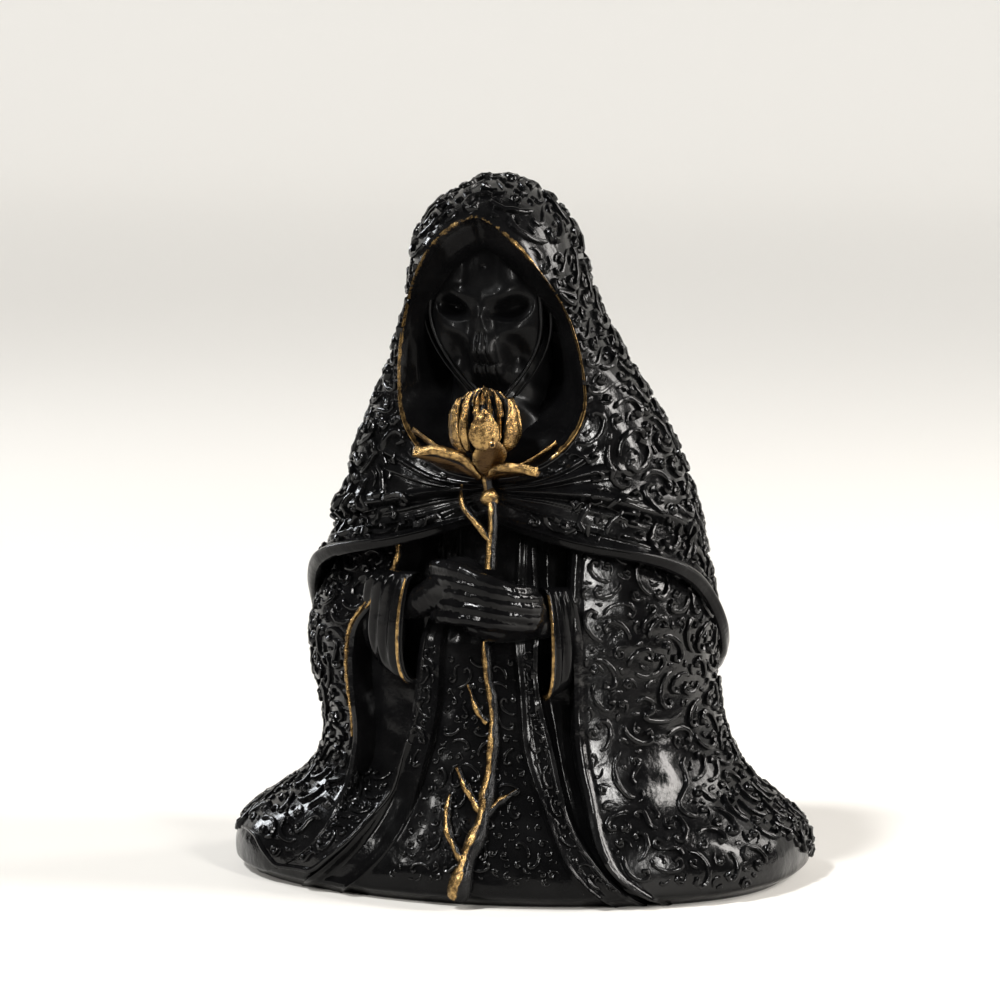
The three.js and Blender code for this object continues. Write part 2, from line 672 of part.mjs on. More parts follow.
function budPoint(turn, up) {
  const profile = readTable(budOutline, up, 1);
  const slice = (Math.PI * 2) / petalCount;
  const aside = Math.abs(turn / slice - Math.round(turn / slice)) * 2;
  const outer = Math.cos((Math.PI / 2) * Math.max(up - petalTop / 3, 0) / (petalTop * 2 / 3));
  const front = smooth(-0.12, 0.12, outer - aside);
  const crease = bump(aside - 1, 0.16) * (1 - smooth(0.5, 0.8, up));
  const spiral = 0.5 * smooth(0.72, 0.9, up) * Math.cos(2 * turn + 9 * up);
  const radius = budRadius * profile - 1.1 * (1 - front) * smooth(0.2, 0.5, up) - 0.8 * crease - spiral;
  return new THREE.Vector3(
    budCentre.x + radius * Math.sin(turn),
    budCentre.y - radius * Math.cos(turn),
    budCentre.z + budHeight * (up - 0.5),
  );
}

function makeBud() {
  return loft(budRows.map((up) => Array.from(
    { length: budColumns },
    (_, j) => budPoint((j / budColumns) * Math.PI * 2, up),
  )));
}

// Sepal: a leaf along a rising arch, tilted about its middle line, with one thicker rim
function makeSepal({ facing, length, half, thick, rise, arch, tilt, roll, fullAt = 1 }) {
  const turn = facing * radians;
  const along = new THREE.Vector3(Math.sin(turn), -Math.cos(turn), 0);
  const across = new THREE.Vector3(Math.cos(turn), Math.sin(turn), 0);
  const up = new THREE.Vector3(0, 0, 1);
  const side = tilt < 0 ? -1 : 1;
  const blunt = 0.3 + 0.6 * roll;
  const section = [[-1, 0], [-0.4, 1], [0.4, 1], [1, blunt], [1, -blunt], [0.4, -1], [-0.4, -1]];
  const rings = [0.02, 0.2, 0.4, 0.6, 0.8, 0.95].map((s) => {
    const width = half * Math.sin(Math.PI * (0.12 + 0.865 * s ** fullAt)) ** 0.7;
    const height = arch * Math.sin(Math.PI * s ** 0.8) + rise * s ** 1.2;
    const climb = 1.2 * rise * s ** 0.2 + arch * Math.PI * 0.8 * Math.cos(Math.PI * s ** 0.8);
    const slope = Math.atan2(climb, length);
    const lean = tilt * radians * smooth(0, 0.3, s);
    const lift = up.clone().multiplyScalar(Math.cos(slope)).addScaledVector(along, -Math.sin(slope));
    const spreading = across.clone().multiplyScalar(Math.cos(lean)).addScaledVector(lift, Math.sin(lean));
    const normal = lift.clone().multiplyScalar(Math.cos(lean)).addScaledVector(across, -Math.sin(lean));
    const middle = budCentre.clone()
      .addScaledVector(along, 1 + length * s)
      .addScaledVector(up, height - sepalDrop);
    return section.map(([u, w]) => {
      const body = thick * w * (1 + roll * Math.max(u, 0)) + 0.5 * u * u;
      return middle.clone().addScaledVector(spreading, u * side * width).addScaledVector(normal, body);
    });
  });
  return loft(rings);
}

function makeRose() {
  const ahead = new THREE.Vector3(0, 1, 0);
  const knot = new THREE.Vector3(budCentre.x + hip.beside, budCentre.y, hip.height);
  const neck = new THREE.Vector3(budCentre.x, budCentre.y, budCentre.z - 5);
  return [
    makeBud(),
    ...sepals.map(makeSepal),
    egg(knot, new THREE.Vector3(hip.radius, hip.radius, hip.radius), 8, 5),
    rod([neck, knot, ...vectors(freeStem)], [2.2, 1.1, 0.95, 1.0], 7, 1, ahead),
    rod(vectors(freeTwig), [0.8, 0.75, 0.7, 0.6], 6, 1, ahead),
  ];
}

// Stem and twigs in relief on the gown
function onGown(x, z, proud) {
  const angle = Math.asin(x / readTable(cloakSections, z, 1));
  const inset = mix(gownInset, chestInset, smooth(...chestRows, z)) - 0.5 + hemInset(z);
  return cloakPoint(angle, z, inset - proud);
}

function makeStem() {
  return [stemPath, ...twigs].map((path) => rod(
    path.map(([x, z, radius]) => onGown(x, z, radius * 0.35)),
    path.map(([, , radius]) => radius),
    7,
    1,
    new THREE.Vector3(0, 1, 0),
  ));
}

// Raised scrolls: short cords that curl over a surface

// Plane curve whose heading turns faster or slower along its length
function curl(length, start, turnA, turnB, steps) {
  const points = [[0, 0]];
  let heading = start;
  for (let k = 0; k < steps; k += 1) {
    heading += mix(turnA, turnB, k / (steps - 1)) / steps;
    const [a, b] = points[k];
    points.push([a + (Math.cos(heading) * length) / steps, b + (Math.sin(heading) * length) / steps]);
  }
  const [midA, midB] = points[Math.round(steps / 2)];
  return points.map(([a, b]) => [a - midA, b - midB]);
}

// Steps in the two surface parameters that make one step in millimetres
function surfaceFrame(surface, u, v) {
  const h = 0.004;
  const du = surface(u + h, v).sub(surface(u - h, v)).multiplyScalar(0.5 / h);
  const dv = surface(u, v + h).sub(surface(u, v - h)).multiplyScalar(0.5 / h);
  const normal = new THREE.Vector3().crossVectors(du, dv).normalize();
  return { du, dv, normal };
}

// A cord lies on the faceted solid itself, found by looking inward from outside it
function cord(surface, u, v, curve, outside, ground) {
  const { du, dv, normal } = surfaceFrame(surface, u, v);
  const across = du.clone().normalize();
  const along = new THREE.Vector3().crossVectors(normal, across);
  const [uu, uv, vv] = [du.dot(du), du.dot(dv), dv.dot(dv)];
  const scale = 1 / (uu * vv - uv * uv);
  const spots = curve.map(([a, b]) => {
    const move = across.clone().multiplyScalar(a).addScaledVector(along, b);
    const [mu, mv] = [move.dot(du), move.dot(dv)];
    const [pu, pv] = [u + (vv * mu - uv * mv) * scale, v + (uu * mv - uv * mu) * scale];
    const point = surface(pu, pv);
    const up = surfaceFrame(surface, pu, pv).normal;
    if (up.dot(outside(point)) < 0) up.negate();
    return { point: ground(point, up), up };
  });
  const last = spots.length - 1;
  const rings = spots.map(({ point, up }, i) => {
    const heading = spots[Math.min(i + 1, last)].point.clone()
      .sub(spots[Math.max(i - 1, 0)].point)
      .normalize();
    const aside = new THREE.Vector3().crossVectors(heading, up).normalize();
    const size = mix(0.55, 1, Math.sin((Math.PI * i) / last));
    return [[-scrollWidth, -scrollRoot], [0, scrollHeight * size], [scrollWidth, -scrollRoot]]
      .map(([w, h]) => point.clone().addScaledVector(aside, w * size).addScaledVector(up, h));
  });
  return loft(rings);
}

function groundOf(solid) {
  const mesh = new THREE.Mesh(toGeometry(solid), new THREE.MeshBasicMaterial({ side: THREE.DoubleSide }));
  const caster = new THREE.Raycaster();
  return (point, up) => {
    caster.set(point.clone().addScaledVector(up, scrollSearch), up.clone().negate());
    const hit = caster.intersectObject(mesh)[0];
    return hit && hit.distance < 2 * scrollSearch ? hit.point : point;
  };
}

const jitter = (a, b) => {
  const value = Math.sin(a * 12.9898 + b * 78.233) * 43758.5453;
  return value - Math.floor(value);
};

// The same scrolls on both sides, mirrored
function scrollField(surface, [rows, columns], place, outside, ground) {
  const cords = [];
  for (let i = 0; i < rows; i += 1) {
    for (let j = 0; j < columns; j += 1) {
      const [length, turnA, turnB] = scrollKinds[Math.floor(jitter(i, j) * scrollKinds.length)];
      const curve = curl(length, jitter(j, i + 7) * Math.PI * 2, turnA, turnB, scrollSteps);
      for (const side of [-1, 1]) {
        const [u, v] = place(i, (j + (i % 2) / 2) / columns, side);
        const turned = curve.map(([a, b]) => [a * side, b]);
        cords.push(cord(surface, u, v, turned, outside, ground));
      }
    }
  }
  return cords;
}

// Both sides of the hood and cape
function hoodScrolls(ground) {
  const last = hoodScrollGrid[0] - 1;
  const place = (i, share, side) => [side * mix(0.2, 0.7, share), mix(0.12, 0.56, i / last)];
  return scrollField(hoodPoint, hoodScrollGrid, place, (p) => p.clone().sub(hoodHeart), ground);
}

// Both sides of the cloak, from its front edges to behind the flanks
function cloakScrolls(ground) {
  const surface = (angle, up) => {
    const z = up * cloakScrollTop;
    return cloakPoint(angle, z, foldInset(angle, z));
  };
  const place = (i, share, side) => {
    const z = mix(14, 36, i);
    const edge = Math.abs(edgeAngle(side < 0 ? edges.cloakLeft : edges.cloakRight, z));
    return [side * mix(edge + 0.26, 2.2, share), z / cloakScrollTop];
  };
  return scrollField(surface, cloakScrollGrid, place, (p) => new THREE.Vector3(p.x, p.y, 0), ground);
}

function toGeometry(solid) {
  const mesh = solid.getMesh();
  const geometry = new THREE.BufferGeometry();
  geometry.setAttribute('position', new THREE.BufferAttribute(new Float32Array(mesh.vertProperties), 3));
  geometry.setIndex(new THREE.BufferAttribute(new Uint32Array(mesh.triVerts), 1));
  return geometry;
}

// The outer shell of the casting; hollows shut inside it are filled
const outerShell = (solid) => solid.decompose().reduce((a, b) => (b.volume() > a.volume() ? b : a));

const { union } = wasm.Manifold;
const cloth = union([makeBody(), makeHood()]).simplify(clothTolerance);
const plain = outerShell(union([
  cloth, makeFace(), makeCowl(), cowlEdge(), makeSleeve(1), makeSleeve(-1), cuffEdge(1), cuffEdge(-1),
  ...makeHands(), ...makeRose(), ...makeStem(),
])).simplify(plainTolerance);
const ground = groundOf(plain);
const carved = outerShell(union([plain, ...hoodScrolls(ground), ...cloakScrolls(ground)]));
const whole = outerShell(carved.simplify(carvedTolerance));

// Joins corners that lie closer than a micron and keeps the outer shell again
function settle(solid) {
  const merged = mergeVertices(toGeometry(solid), 1e-3);
  const vertProperties = merged.attributes.position.array;
  const triVerts = new Uint32Array(merged.index.array);
  return outerShell(new wasm.Manifold(new wasm.Mesh({ numProp: 3, vertProperties, triVerts })));
}

// Stands the middle of the box over the origin
function centred(solid) {
  const { min, max } = solid.boundingBox();
  return solid.translate([-(min[0] + max[0]) / 2, -(min[1] + max[1]) / 2, -min[2]]);
}

function toMesh(solid, name) {
  const geometry = toGeometry(solid);
  geometry.computeVertexNormals();
  const material = new THREE.MeshStandardMaterial({ color: 0x15151a, roughness: 0.3 });
  const result = new THREE.Mesh(geometry, material);
  result.name = name;
  return result;
}

const group = new THREE.Group();
group.name = 'hooded_figurine';
group.add(toMesh(settle(centred(whole)), 'figurine'));

export default group;
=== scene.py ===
# A hooded, robed figurine with a skull face and a gilt rose bud, cast in black lacquered resin.
# Shapes are worked out in millimetres and put into the meshes in metres.
# The figure stands on z = 0, faces -Y and has its left hand toward +X.
import math

import bpy
import numpy as np
from mathutils import Matrix, Vector


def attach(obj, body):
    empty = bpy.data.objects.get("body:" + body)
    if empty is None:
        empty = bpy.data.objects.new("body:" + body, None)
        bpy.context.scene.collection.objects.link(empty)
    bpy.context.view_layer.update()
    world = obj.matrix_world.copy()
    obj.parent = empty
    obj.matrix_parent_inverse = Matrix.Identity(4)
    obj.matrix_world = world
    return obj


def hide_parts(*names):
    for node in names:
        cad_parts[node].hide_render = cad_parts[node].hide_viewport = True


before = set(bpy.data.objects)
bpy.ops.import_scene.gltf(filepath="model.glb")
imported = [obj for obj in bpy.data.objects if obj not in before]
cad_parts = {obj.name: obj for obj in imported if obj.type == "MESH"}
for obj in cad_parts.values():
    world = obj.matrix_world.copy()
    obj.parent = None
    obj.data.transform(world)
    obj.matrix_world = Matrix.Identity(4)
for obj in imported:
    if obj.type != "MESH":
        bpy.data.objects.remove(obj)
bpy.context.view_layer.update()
print("frame loaded")

metre = 0.001
castShift = np.array([0.535, 2.5, 0.0])  # brings the middle of the casting's box over the origin
degree = math.pi / 180
fullTurn = 2 * math.pi
view = {
    "azimuth": 14.0, "elevation": 7.0, "distance": 0.9, "lens": 159.1,
    "pixelsPerMm": 4.91, "base": (516.8, 868.0), "middle": 500.0,
}


# Small formulas that the shapes share

def mix(a, b, share):
    # straight blend from a to b
    return a + (b - a) * share


def smooth(low, high, value):
    # s-shaped step from 0 to 1: 3t^2 - 2t^3 between low and high
    t = np.clip((value - low) / (high - low), 0, 1)
    return t * t * (3 - 2 * t)


def bump(distance, width):
    # bell curve, 1 in the middle
    return np.exp(-((distance / width) ** 2))


def unit(vectors):
    return vectors / np.maximum(np.linalg.norm(vectors, axis=-1, keepdims=True), 1e-9)


def readTable(table, key, column):
    # cubic curve through one column of a table; a row's slope is that between its neighbours
    rows = np.array(table, float)
    x, y = rows[:, 0], rows[:, column]
    order = np.arange(len(x))
    before, after = np.maximum(order - 1, 0), np.minimum(order + 1, len(x) - 1)
    slope = (y[after] - y[before]) / (x[after] - x[before])
    i = np.clip(np.searchsorted(x, key, side="right") - 1, 0, len(x) - 2)
    span = x[i + 1] - x[i]
    t = np.clip((key - x[i]) / span, 0, 1)
    start = (2 * t**3 - 3 * t**2 + 1) * y[i] + (t**3 - 2 * t**2 + t) * span * slope[i]
    return start + (3 * t**2 - 2 * t**3) * y[i + 1] + (t**3 - t**2) * span * slope[i + 1]


def ripple(points, size, seed, waves=7):
    # smooth random relief in about -1..1: the mean of sine waves in seeded directions
    rng = np.random.default_rng(seed)
    heading = unit(rng.normal(size=(waves, 3)))
    pitch = size * rng.uniform(0.7, 1.6, waves)
    phase = rng.uniform(0, fullTurn, waves)
    return 1.6 * np.sin(points @ (heading / pitch[:, None]).T * fullTurn + phase).mean(-1)


def smoothPath(points, count):
    # Catmull-Rom curve through the points, read at evenly spaced shares
    knots = np.array(points, float)
    padded = np.vstack([2 * knots[0] - knots[1], knots, 2 * knots[-1] - knots[-2]])
    t = np.linspace(0, len(knots) - 1, count)
    i = np.minimum(t.astype(int), len(knots) - 2)
    f = (t - i)[:, None]
    a, b, c, d = padded[i], padded[i + 1], padded[i + 2], padded[i + 3]
    return 0.5 * (2 * b + (c - a) * f + (2 * a - 5 * b + 4 * c - d) * f**2
                  + (3 * b - a - 3 * c + d) * f**3)


# Meshes

def joinLofts(rings, poles):
    # many closed skins at once: rings (n, stations, around, 3) and two end poles for each;
    # a skin whose signed volume is negative has its faces turned round
    n, stations, around = rings.shape[:3]
    block = stations * around + 2
    points = np.concatenate([rings.reshape(n, -1, 3), poles], axis=1)
    i, j = np.meshgrid(np.arange(stations - 1), np.arange(around), indexing="ij")
    near, beside = i * around + j, i * around + (j + 1) % around
    quads = np.stack([near, beside, beside + around, near + around], -1).reshape(-1, 4)
    k = np.arange(around)
    after, last = (k + 1) % around, (stations - 1) * around
    first = np.stack([np.full(around, block - 2), after, k], -1)
    final = np.stack([np.full(around, block - 1), last + k, last + after], -1)
    tris = np.concatenate([first, final])
    corners = np.concatenate([quads[:, :3], quads[:, [0, 2, 3]], tris])
    a, b, c = (points[:, corners[:, m]] for m in range(3))
    inward = (a * np.cross(b, c)).sum((1, 2)) < 0
    starts = np.arange(n) * block
    allQuads = np.where(inward[:, None, None], quads[None, :, ::-1], quads[None]) + starts[:, None, None]
    allTris = np.where(inward[:, None, None], tris[None, :, ::-1], tris[None]) + starts[:, None, None]
    return points.reshape(-1, 3), allQuads.reshape(-1, 4), allTris.reshape(-1, 3)


def lofts(rings, startPole=None, endPole=None, **marks):
    # one closed skin over rings (stations, around, 3), with marks on its points
    rings = np.asarray(rings, float)
    ends = [rings[0].mean(0) if startPole is None else startPole,
            rings[-1].mean(0) if endPole is None else endPole]
    points, quads, tris = joinLofts(rings[None], np.array(ends, float)[None])
    flat = {key: np.append(np.ravel(value), [np.mean(value[0]), np.mean(value[-1])])
            for key, value in marks.items()}
    return points, quads, tris, flat


# painted shade on faces that look down: normal slope where it starts and is full, amount, amount on gilt
paintedUnderShade = {"slope": (0.02, 0.5), "dull": 0.95, "onGilt": 0.35}


def makePiece(name, parts, material, sharpAngle=55):
    # puts one or more skins into a mesh, with gilt, hollow and shade marks that the finish reads;
    # faces that look down get painted shade, less of it on gilt
    points, faces, start = [], [], 0
    marks = {"gilt": [], "hollow": [], "shade": []}
    for skinPoints, quads, tris, own in parts:
        points.append(skinPoints)
        faces += (quads + start).tolist() + (tris + start).tolist()
        start += len(skinPoints)
        for key, values in marks.items():
            values.append(np.broadcast_to(own.get(key, 0.0), len(skinPoints)))
    mesh = bpy.data.meshes.new(name)
    mesh.from_pydata(((np.concatenate(points) + castShift) * metre).tolist(), [], faces)
    normals = np.empty(start * 3, np.float32)
    mesh.vertex_normals.foreach_get("vector", normals)
    gilt = np.clip(np.concatenate(marks["gilt"]), 0, 1)
    underShade = mix(paintedUnderShade["dull"], paintedUnderShade["onGilt"], gilt) * smooth(*paintedUnderShade["slope"], -normals[2::3])
    marks["shade"] = [np.maximum(np.concatenate(marks["shade"]), underShade)]
    for key, values in marks.items():
        field = mesh.attributes.new(key, "FLOAT", "POINT")
        field.data.foreach_set("value", np.concatenate(values).astype(np.float32))
    mesh.polygons.foreach_set("use_smooth", np.ones(len(faces), bool))
    mesh.set_sharp_from_angle(angle=sharpAngle * degree)
    mesh.materials.append(material)
    mesh.validate()
    piece = bpy.data.objects.new(name, mesh)
    bpy.context.scene.collection.objects.link(piece)
    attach(piece, "root")
    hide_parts("figurine")
    triangles = sum(len(face) - 2 for face in faces)
    print(f"{name}: {triangles} triangles")
    return piece


def rodRings(path, radii, sides, up=(0, 0, 1), flatten=1.0):
    # circle carried along a path: point + across r cos a + lift r sin a
    path = np.asarray(path, float)
    along = unit(np.gradient(path, axis=0))
    across = unit(np.cross(along, np.array(up, float)))
    lift = np.cross(across, along)
    turn = np.arange(sides) / sides * fullTurn
    radii = np.broadcast_to(radii, len(path))[:, None, None]
    return (path[:, None] + across[:, None] * np.cos(turn)[None, :, None] * radii
            + lift[:, None] * np.sin(turn)[None, :, None] * radii * flatten)


# Finishes

def newGroup(name, inputs, outputs):
    # empty shader group with named float or colour sockets
    group = bpy.data.node_groups.new(name, "ShaderNodeTree")
    kinds = {"float": "NodeSocketFloat", "colour": "NodeSocketColor"}
    for label, kind, value in inputs:
        socket = group.interface.new_socket(label, in_out="INPUT", socket_type=kinds[kind])
        socket.default_value = value
    for label, kind in outputs:
        group.interface.new_socket(label, in_out="OUTPUT", socket_type=kinds[kind])
    return group, group.nodes.new("NodeGroupInput"), group.nodes.new("NodeGroupOutput")


def addNode(tree, kind, values=None, **settings):
    # new node with its settings and socket values; a value that is a socket is linked
    node = tree.nodes.new(kind)
    for key, value in settings.items():
        setattr(node, key, value)
    for key, value in (values or {}).items():
        if isinstance(value, bpy.types.NodeSocket):
            tree.links.new(value, node.inputs[key])
        else:
            node.inputs[key].default_value = value
    return node


def calculate(tree, operation, a, b=None, c=None, clamp=False):
    values = {i: v for i, v in enumerate((a, b, c)) if v is not None}
    return addNode(tree, "ShaderNodeMath", values, operation=operation, use_clamp=clamp).outputs[0]


def noiseAt(tree, coordinates, scale, detail=3.0, roughness=0.5):
    values = {"Vector": coordinates, "Scale": scale, "Detail": detail, "Roughness": roughness}
    return addNode(tree, "ShaderNodeTexNoise", values).outputs["Fac"]


def stepBetween(tree, value, low, high):
    # smooth step of a socket between two limits
    values = {"Value": value, "From Min": low, "From Max": high}
    return addNode(tree, "ShaderNodeMapRange", values, interpolation_type="SMOOTHSTEP").outputs["Result"]


def castSurfaceGroup():
    # sprayed lacquer over cast resin: uneven casting, orange peel and fine grit
    inputs = [("Unevenness", "float", 1.0), ("Peel", "float", 1.0), ("Grit", "float", 1.0)]
    group, given, result = newGroup("castSurface", inputs, [("Height", "float"), ("Dull", "float")])
    place = addNode(group, "ShaderNodeTexCoord").outputs["Object"]
    uneven = noiseAt(group, place, 210.0, 2.0)
    peel = noiseAt(group, place, 950.0, 2.0)
    grit = noiseAt(group, place, 3600.0, 2.0, 0.6)
    a = calculate(group, "MULTIPLY", uneven, given.outputs["Unevenness"])
    b = calculate(group, "MULTIPLY_ADD", peel, given.outputs["Peel"], a)
    height = calculate(group, "MULTIPLY_ADD", grit, given.outputs["Grit"], b)
    cloudy = noiseAt(group, place, 130.0, 3.0, 0.6)
    dull = stepBetween(group, cloudy, 0.35, 0.75)
    group.links.new(height, result.inputs["Height"])
    group.links.new(dull, result.inputs["Dull"])
    return group


def brushedGiltGroup():
    # gold paint dabbed on raised places: thin, speckled at its borders and black in the hollows
    inputs = [("Gilt", "float", 0.0), ("Hollow", "float", 0.0), ("Speckle", "float", 0.5)]
    group, given, result = newGroup("brushedGilt", inputs, [("Cover", "float"), ("Tone", "float")])
    place = addNode(group, "ShaderNodeTexCoord").outputs["Object"]
    coarse = noiseAt(group, place, 700.0, 4.0, 0.65)
    fine = noiseAt(group, place, 2600.0, 3.0, 0.7)
    grain = calculate(group, "ADD", calculate(group, "MULTIPLY", coarse, 0.6),
                      calculate(group, "MULTIPLY", fine, 0.4))
    lost = calculate(group, "MULTIPLY", calculate(group, "SUBTRACT", grain, 0.35), given.outputs["Speckle"])
    kept = calculate(group, "SUBTRACT", calculate(group, "SUBTRACT", given.outputs["Gilt"],
                                                  given.outputs["Hollow"]), lost)
    group.links.new(stepBetween(group, kept, 0.2, 0.5), result.inputs["Cover"])
    group.links.new(stepBetween(group, grain, 0.36, 0.62), result.inputs["Tone"])
    return group


def readMark(tree, name):
    return addNode(tree, "ShaderNodeAttribute", attribute_name=name).outputs["Fac"]


def finish(name, look):
    # black lacquer with gold paint where the gilt mark lies; the shade mark is painted shade, which takes reflection
    # off the lacquer and darkens the gold
    material = bpy.data.materials.new(name)
    material.use_nodes = True
    tree = material.node_tree
    shader = tree.nodes["Principled BSDF"]
    cast = addNode(tree, "ShaderNodeGroup", node_tree=castSurface)
    for label in ("Unevenness", "Peel", "Grit"):
        cast.inputs[label].default_value = look[label.lower()]
    gilt = addNode(tree, "ShaderNodeGroup", node_tree=brushedGilt)
    gilt.inputs["Speckle"].default_value = look["speckle"]
    tree.links.new(readMark(tree, "gilt"), gilt.inputs["Gilt"])
    tree.links.new(readMark(tree, "hollow"), gilt.inputs["Hollow"])
    cover, tone = gilt.outputs["Cover"], gilt.outputs["Tone"]
    lacquer = addNode(tree, "ShaderNodeMix", {"Factor": cast.outputs["Dull"], "A": look["black"],
                                             "B": look["greyBlack"]}, data_type="RGBA")
    shade = readMark(tree, "shade")
    # painted shade: the gold goes toward deep gold where the shade mark lies, as well as by its own tone
    toneAndShade = calculate(tree, "MAXIMUM", tone, shade, clamp=True)
    gold = addNode(tree, "ShaderNodeMix", {"Factor": toneAndShade, "A": look["gold"], "B": look["deepGold"]},
                   data_type="RGBA")
    colour = addNode(tree, "ShaderNodeMix", {"Factor": cover}, data_type="RGBA")
    tree.links.new(lacquer.outputs["Result"], colour.inputs["A"])
    tree.links.new(gold.outputs["Result"], colour.inputs["B"])
    tree.links.new(colour.outputs["Result"], shader.inputs["Base Color"])
    dullness = calculate(tree, "MULTIPLY_ADD", cast.outputs["Dull"], look["roughSpread"], look["rough"])
    roughness = addNode(tree, "ShaderNodeMix", {"Factor": cover, "A": dullness, "B": look["goldRough"]})
    tree.links.new(roughness.outputs["Result"], shader.inputs["Roughness"])
    tree.links.new(calculate(tree, "MULTIPLY", cover, look["goldMetal"]), shader.inputs["Metallic"])
    relief = addNode(tree, "ShaderNodeBump", {"Height": cast.outputs["Height"], "Strength": look["relief"],
                                             "Distance": 0.0002})
    tree.links.new(relief.outputs["Normal"], shader.inputs["Normal"])
    shader.inputs["Coat Weight"].default_value = look["coat"]
    shader.inputs["Coat Roughness"].default_value = look["coatRough"]
    # painted shade: the shade mark lowers the reflection
    shine = calculate(tree, "MULTIPLY_ADD", shade, -0.8 * look["specular"], look["specular"])
    tree.links.new(shine, shader.inputs["Specular IOR Level"])
    return material


lacquerLook = {
    "black": (0.002, 0.002, 0.0022, 1), "greyBlack": (0.004, 0.004, 0.0042, 1),
    "rough": 0.14, "roughSpread": 0.1, "specular": 0.22, "coat": 0.08, "coatRough": 0.06,
    "gold": (0.48, 0.31, 0.12, 1), "deepGold": (0.06, 0.033, 0.012, 1), "goldRough": 0.25, "goldMetal": 0.95,
    "speckle": 1.3, "unevenness": 2.4, "peel": 0.6, "grit": 0.15, "relief": 0.5,
}
castSurface = castSurfaceGroup()
brushedGilt = brushedGiltGroup()
blackLacquer = finish("blackLacquer", lacquerLook)
satinLacquer = finish("satinLacquer", {**lacquerLook, "rough": 0.3, "specular": 0.16, "coat": 0.04, "relief": 0.35})
antiqueGold = finish("antiqueGold", {**lacquerLook, "speckle": 0.95, "grit": 0.8, "peel": 1.2, "relief": 0.75})
print("finishes made")


# Cloak, inner robe with its bands, and gown, as one ring grid

# height, half width, front depth, back depth, sideways shift
cloakSections = [
    (0, 58.8, 42.0, 40.6, -1.0), (3, 60.0, 43.2, 42.0, -0.8), (7, 60.0, 43.0, 42.0, -0.4),
    (11, 57.6, 41.8, 40.2, 0.2), (15, 52.4, 40.2, 38.0, 0.8), (19, 46.8, 38.4, 36.2, 1.4),
    (24, 42.8, 36.8, 34.6, 1.6), (31, 40.8, 35.0, 33.0, 0.6), (42, 41.2, 32.6, 32.0, -1.7),
    (52, 41.4, 30.8, 30.6, -1.7), (60, 38.8, 29.6, 28.6, -0.8), (68, 35.2, 28.0, 26.0, -0.4),
    (76, 31.0, 26.0, 22.6, -0.2), (84, 26.0, 23.0, 18.6, 0),
]
robe = {
    "top": 82.0, "rows": 128, "hemRows": 9, "drift": 0.022,
    "gown": 1.2, "band": 0.1, "recess": 4.2, "chest": 4.6, "chestRows": (50, 60),
    "lip": 0.9, "lipWidth": 0.9, "hemRoll": 2.6, "hemRollTo": 3.4, "joinRows": (14, 27),
    "foldAtHem": 1.7, "foldAbove": 0.35, "folds": 7,
    "backColumns": 230, "gownColumns": 66, "gapColumns": (2, 3, 4, 5, 4, 3, 3, 3, 7, 7, 3, 2, 2, 3),
    "unevenness": 0.26, "pleat": 0.07, "gownShade": 0.95, "bandShade": 0.7, "recessShade": 0.8,
}
# edges of the layered front: x = side (base + spread exp(-z / reach)) - pull
edges = {
    "cloakRight": (1, 17.6, 20.0, 10.5, 1.5), "bandOutRight": (1, 9.6, 25.0, 17.0, 0),
    "bandInRight": (1, 5.0, 23.0, 17.5, 0), "bandInLeft": (-1, 7.2, 21.5, 15.0, 0),
    "bandOutLeft": (-1, 10.6, 28.5, 19.0, 0), "cloakLeft": (-1, 26.6, 24.0, 9.0, 9.0),
}
pullRows = (50, 68)
edgeWaver = 0.35


def edgeAngle(name, z):
    side, base, spread, reach, pull = edges[name]
    away = base + spread * np.exp(-z / reach) - pull * smooth(*pullRows, z)
    away = away + edgeWaver * np.sin(z / 4.1 + 2 * base) * smooth(2, 10, z)
    return side * np.arcsin(np.clip(away / readTable(cloakSections, z, 1), -0.95, 0.95))


def cloakPoint(angle, z, inset):
    # ellipse with a front and a back depth: (half sin a, -depth cos a, z), moved in along its normal
    angle, z, inset = np.broadcast_arrays(angle, z, inset)
    half = readTable(cloakSections, z, 1)
    depth = np.where(np.cos(angle) > 0, readTable(cloakSections, z, 2), readTable(cloakSections, z, 3))
    normal = unit(np.stack([np.sin(angle) / half, -np.cos(angle) / depth, np.zeros_like(angle)], -1))
    shift = readTable(cloakSections, z, 4) * (1 - np.exp(-2 * np.sin(angle) ** 2))
    point = np.stack([half * np.sin(angle) + shift, -depth * np.cos(angle) - robe["drift"] * z, z], -1)
    return point - normal * inset[..., None]


def foldInset(angle, z):
    depth = mix(robe["foldAtHem"], robe["foldAbove"], smooth(2, 46, z))
    return depth * (0.5 - 0.5 * np.cos(robe["folds"] * angle + 0.9 * np.sin(3 * angle) + 0.02 * z))


def hemInset(z):
    return robe["hemRoll"] * (1 - smooth(0, robe["hemRollTo"], z)) ** 2


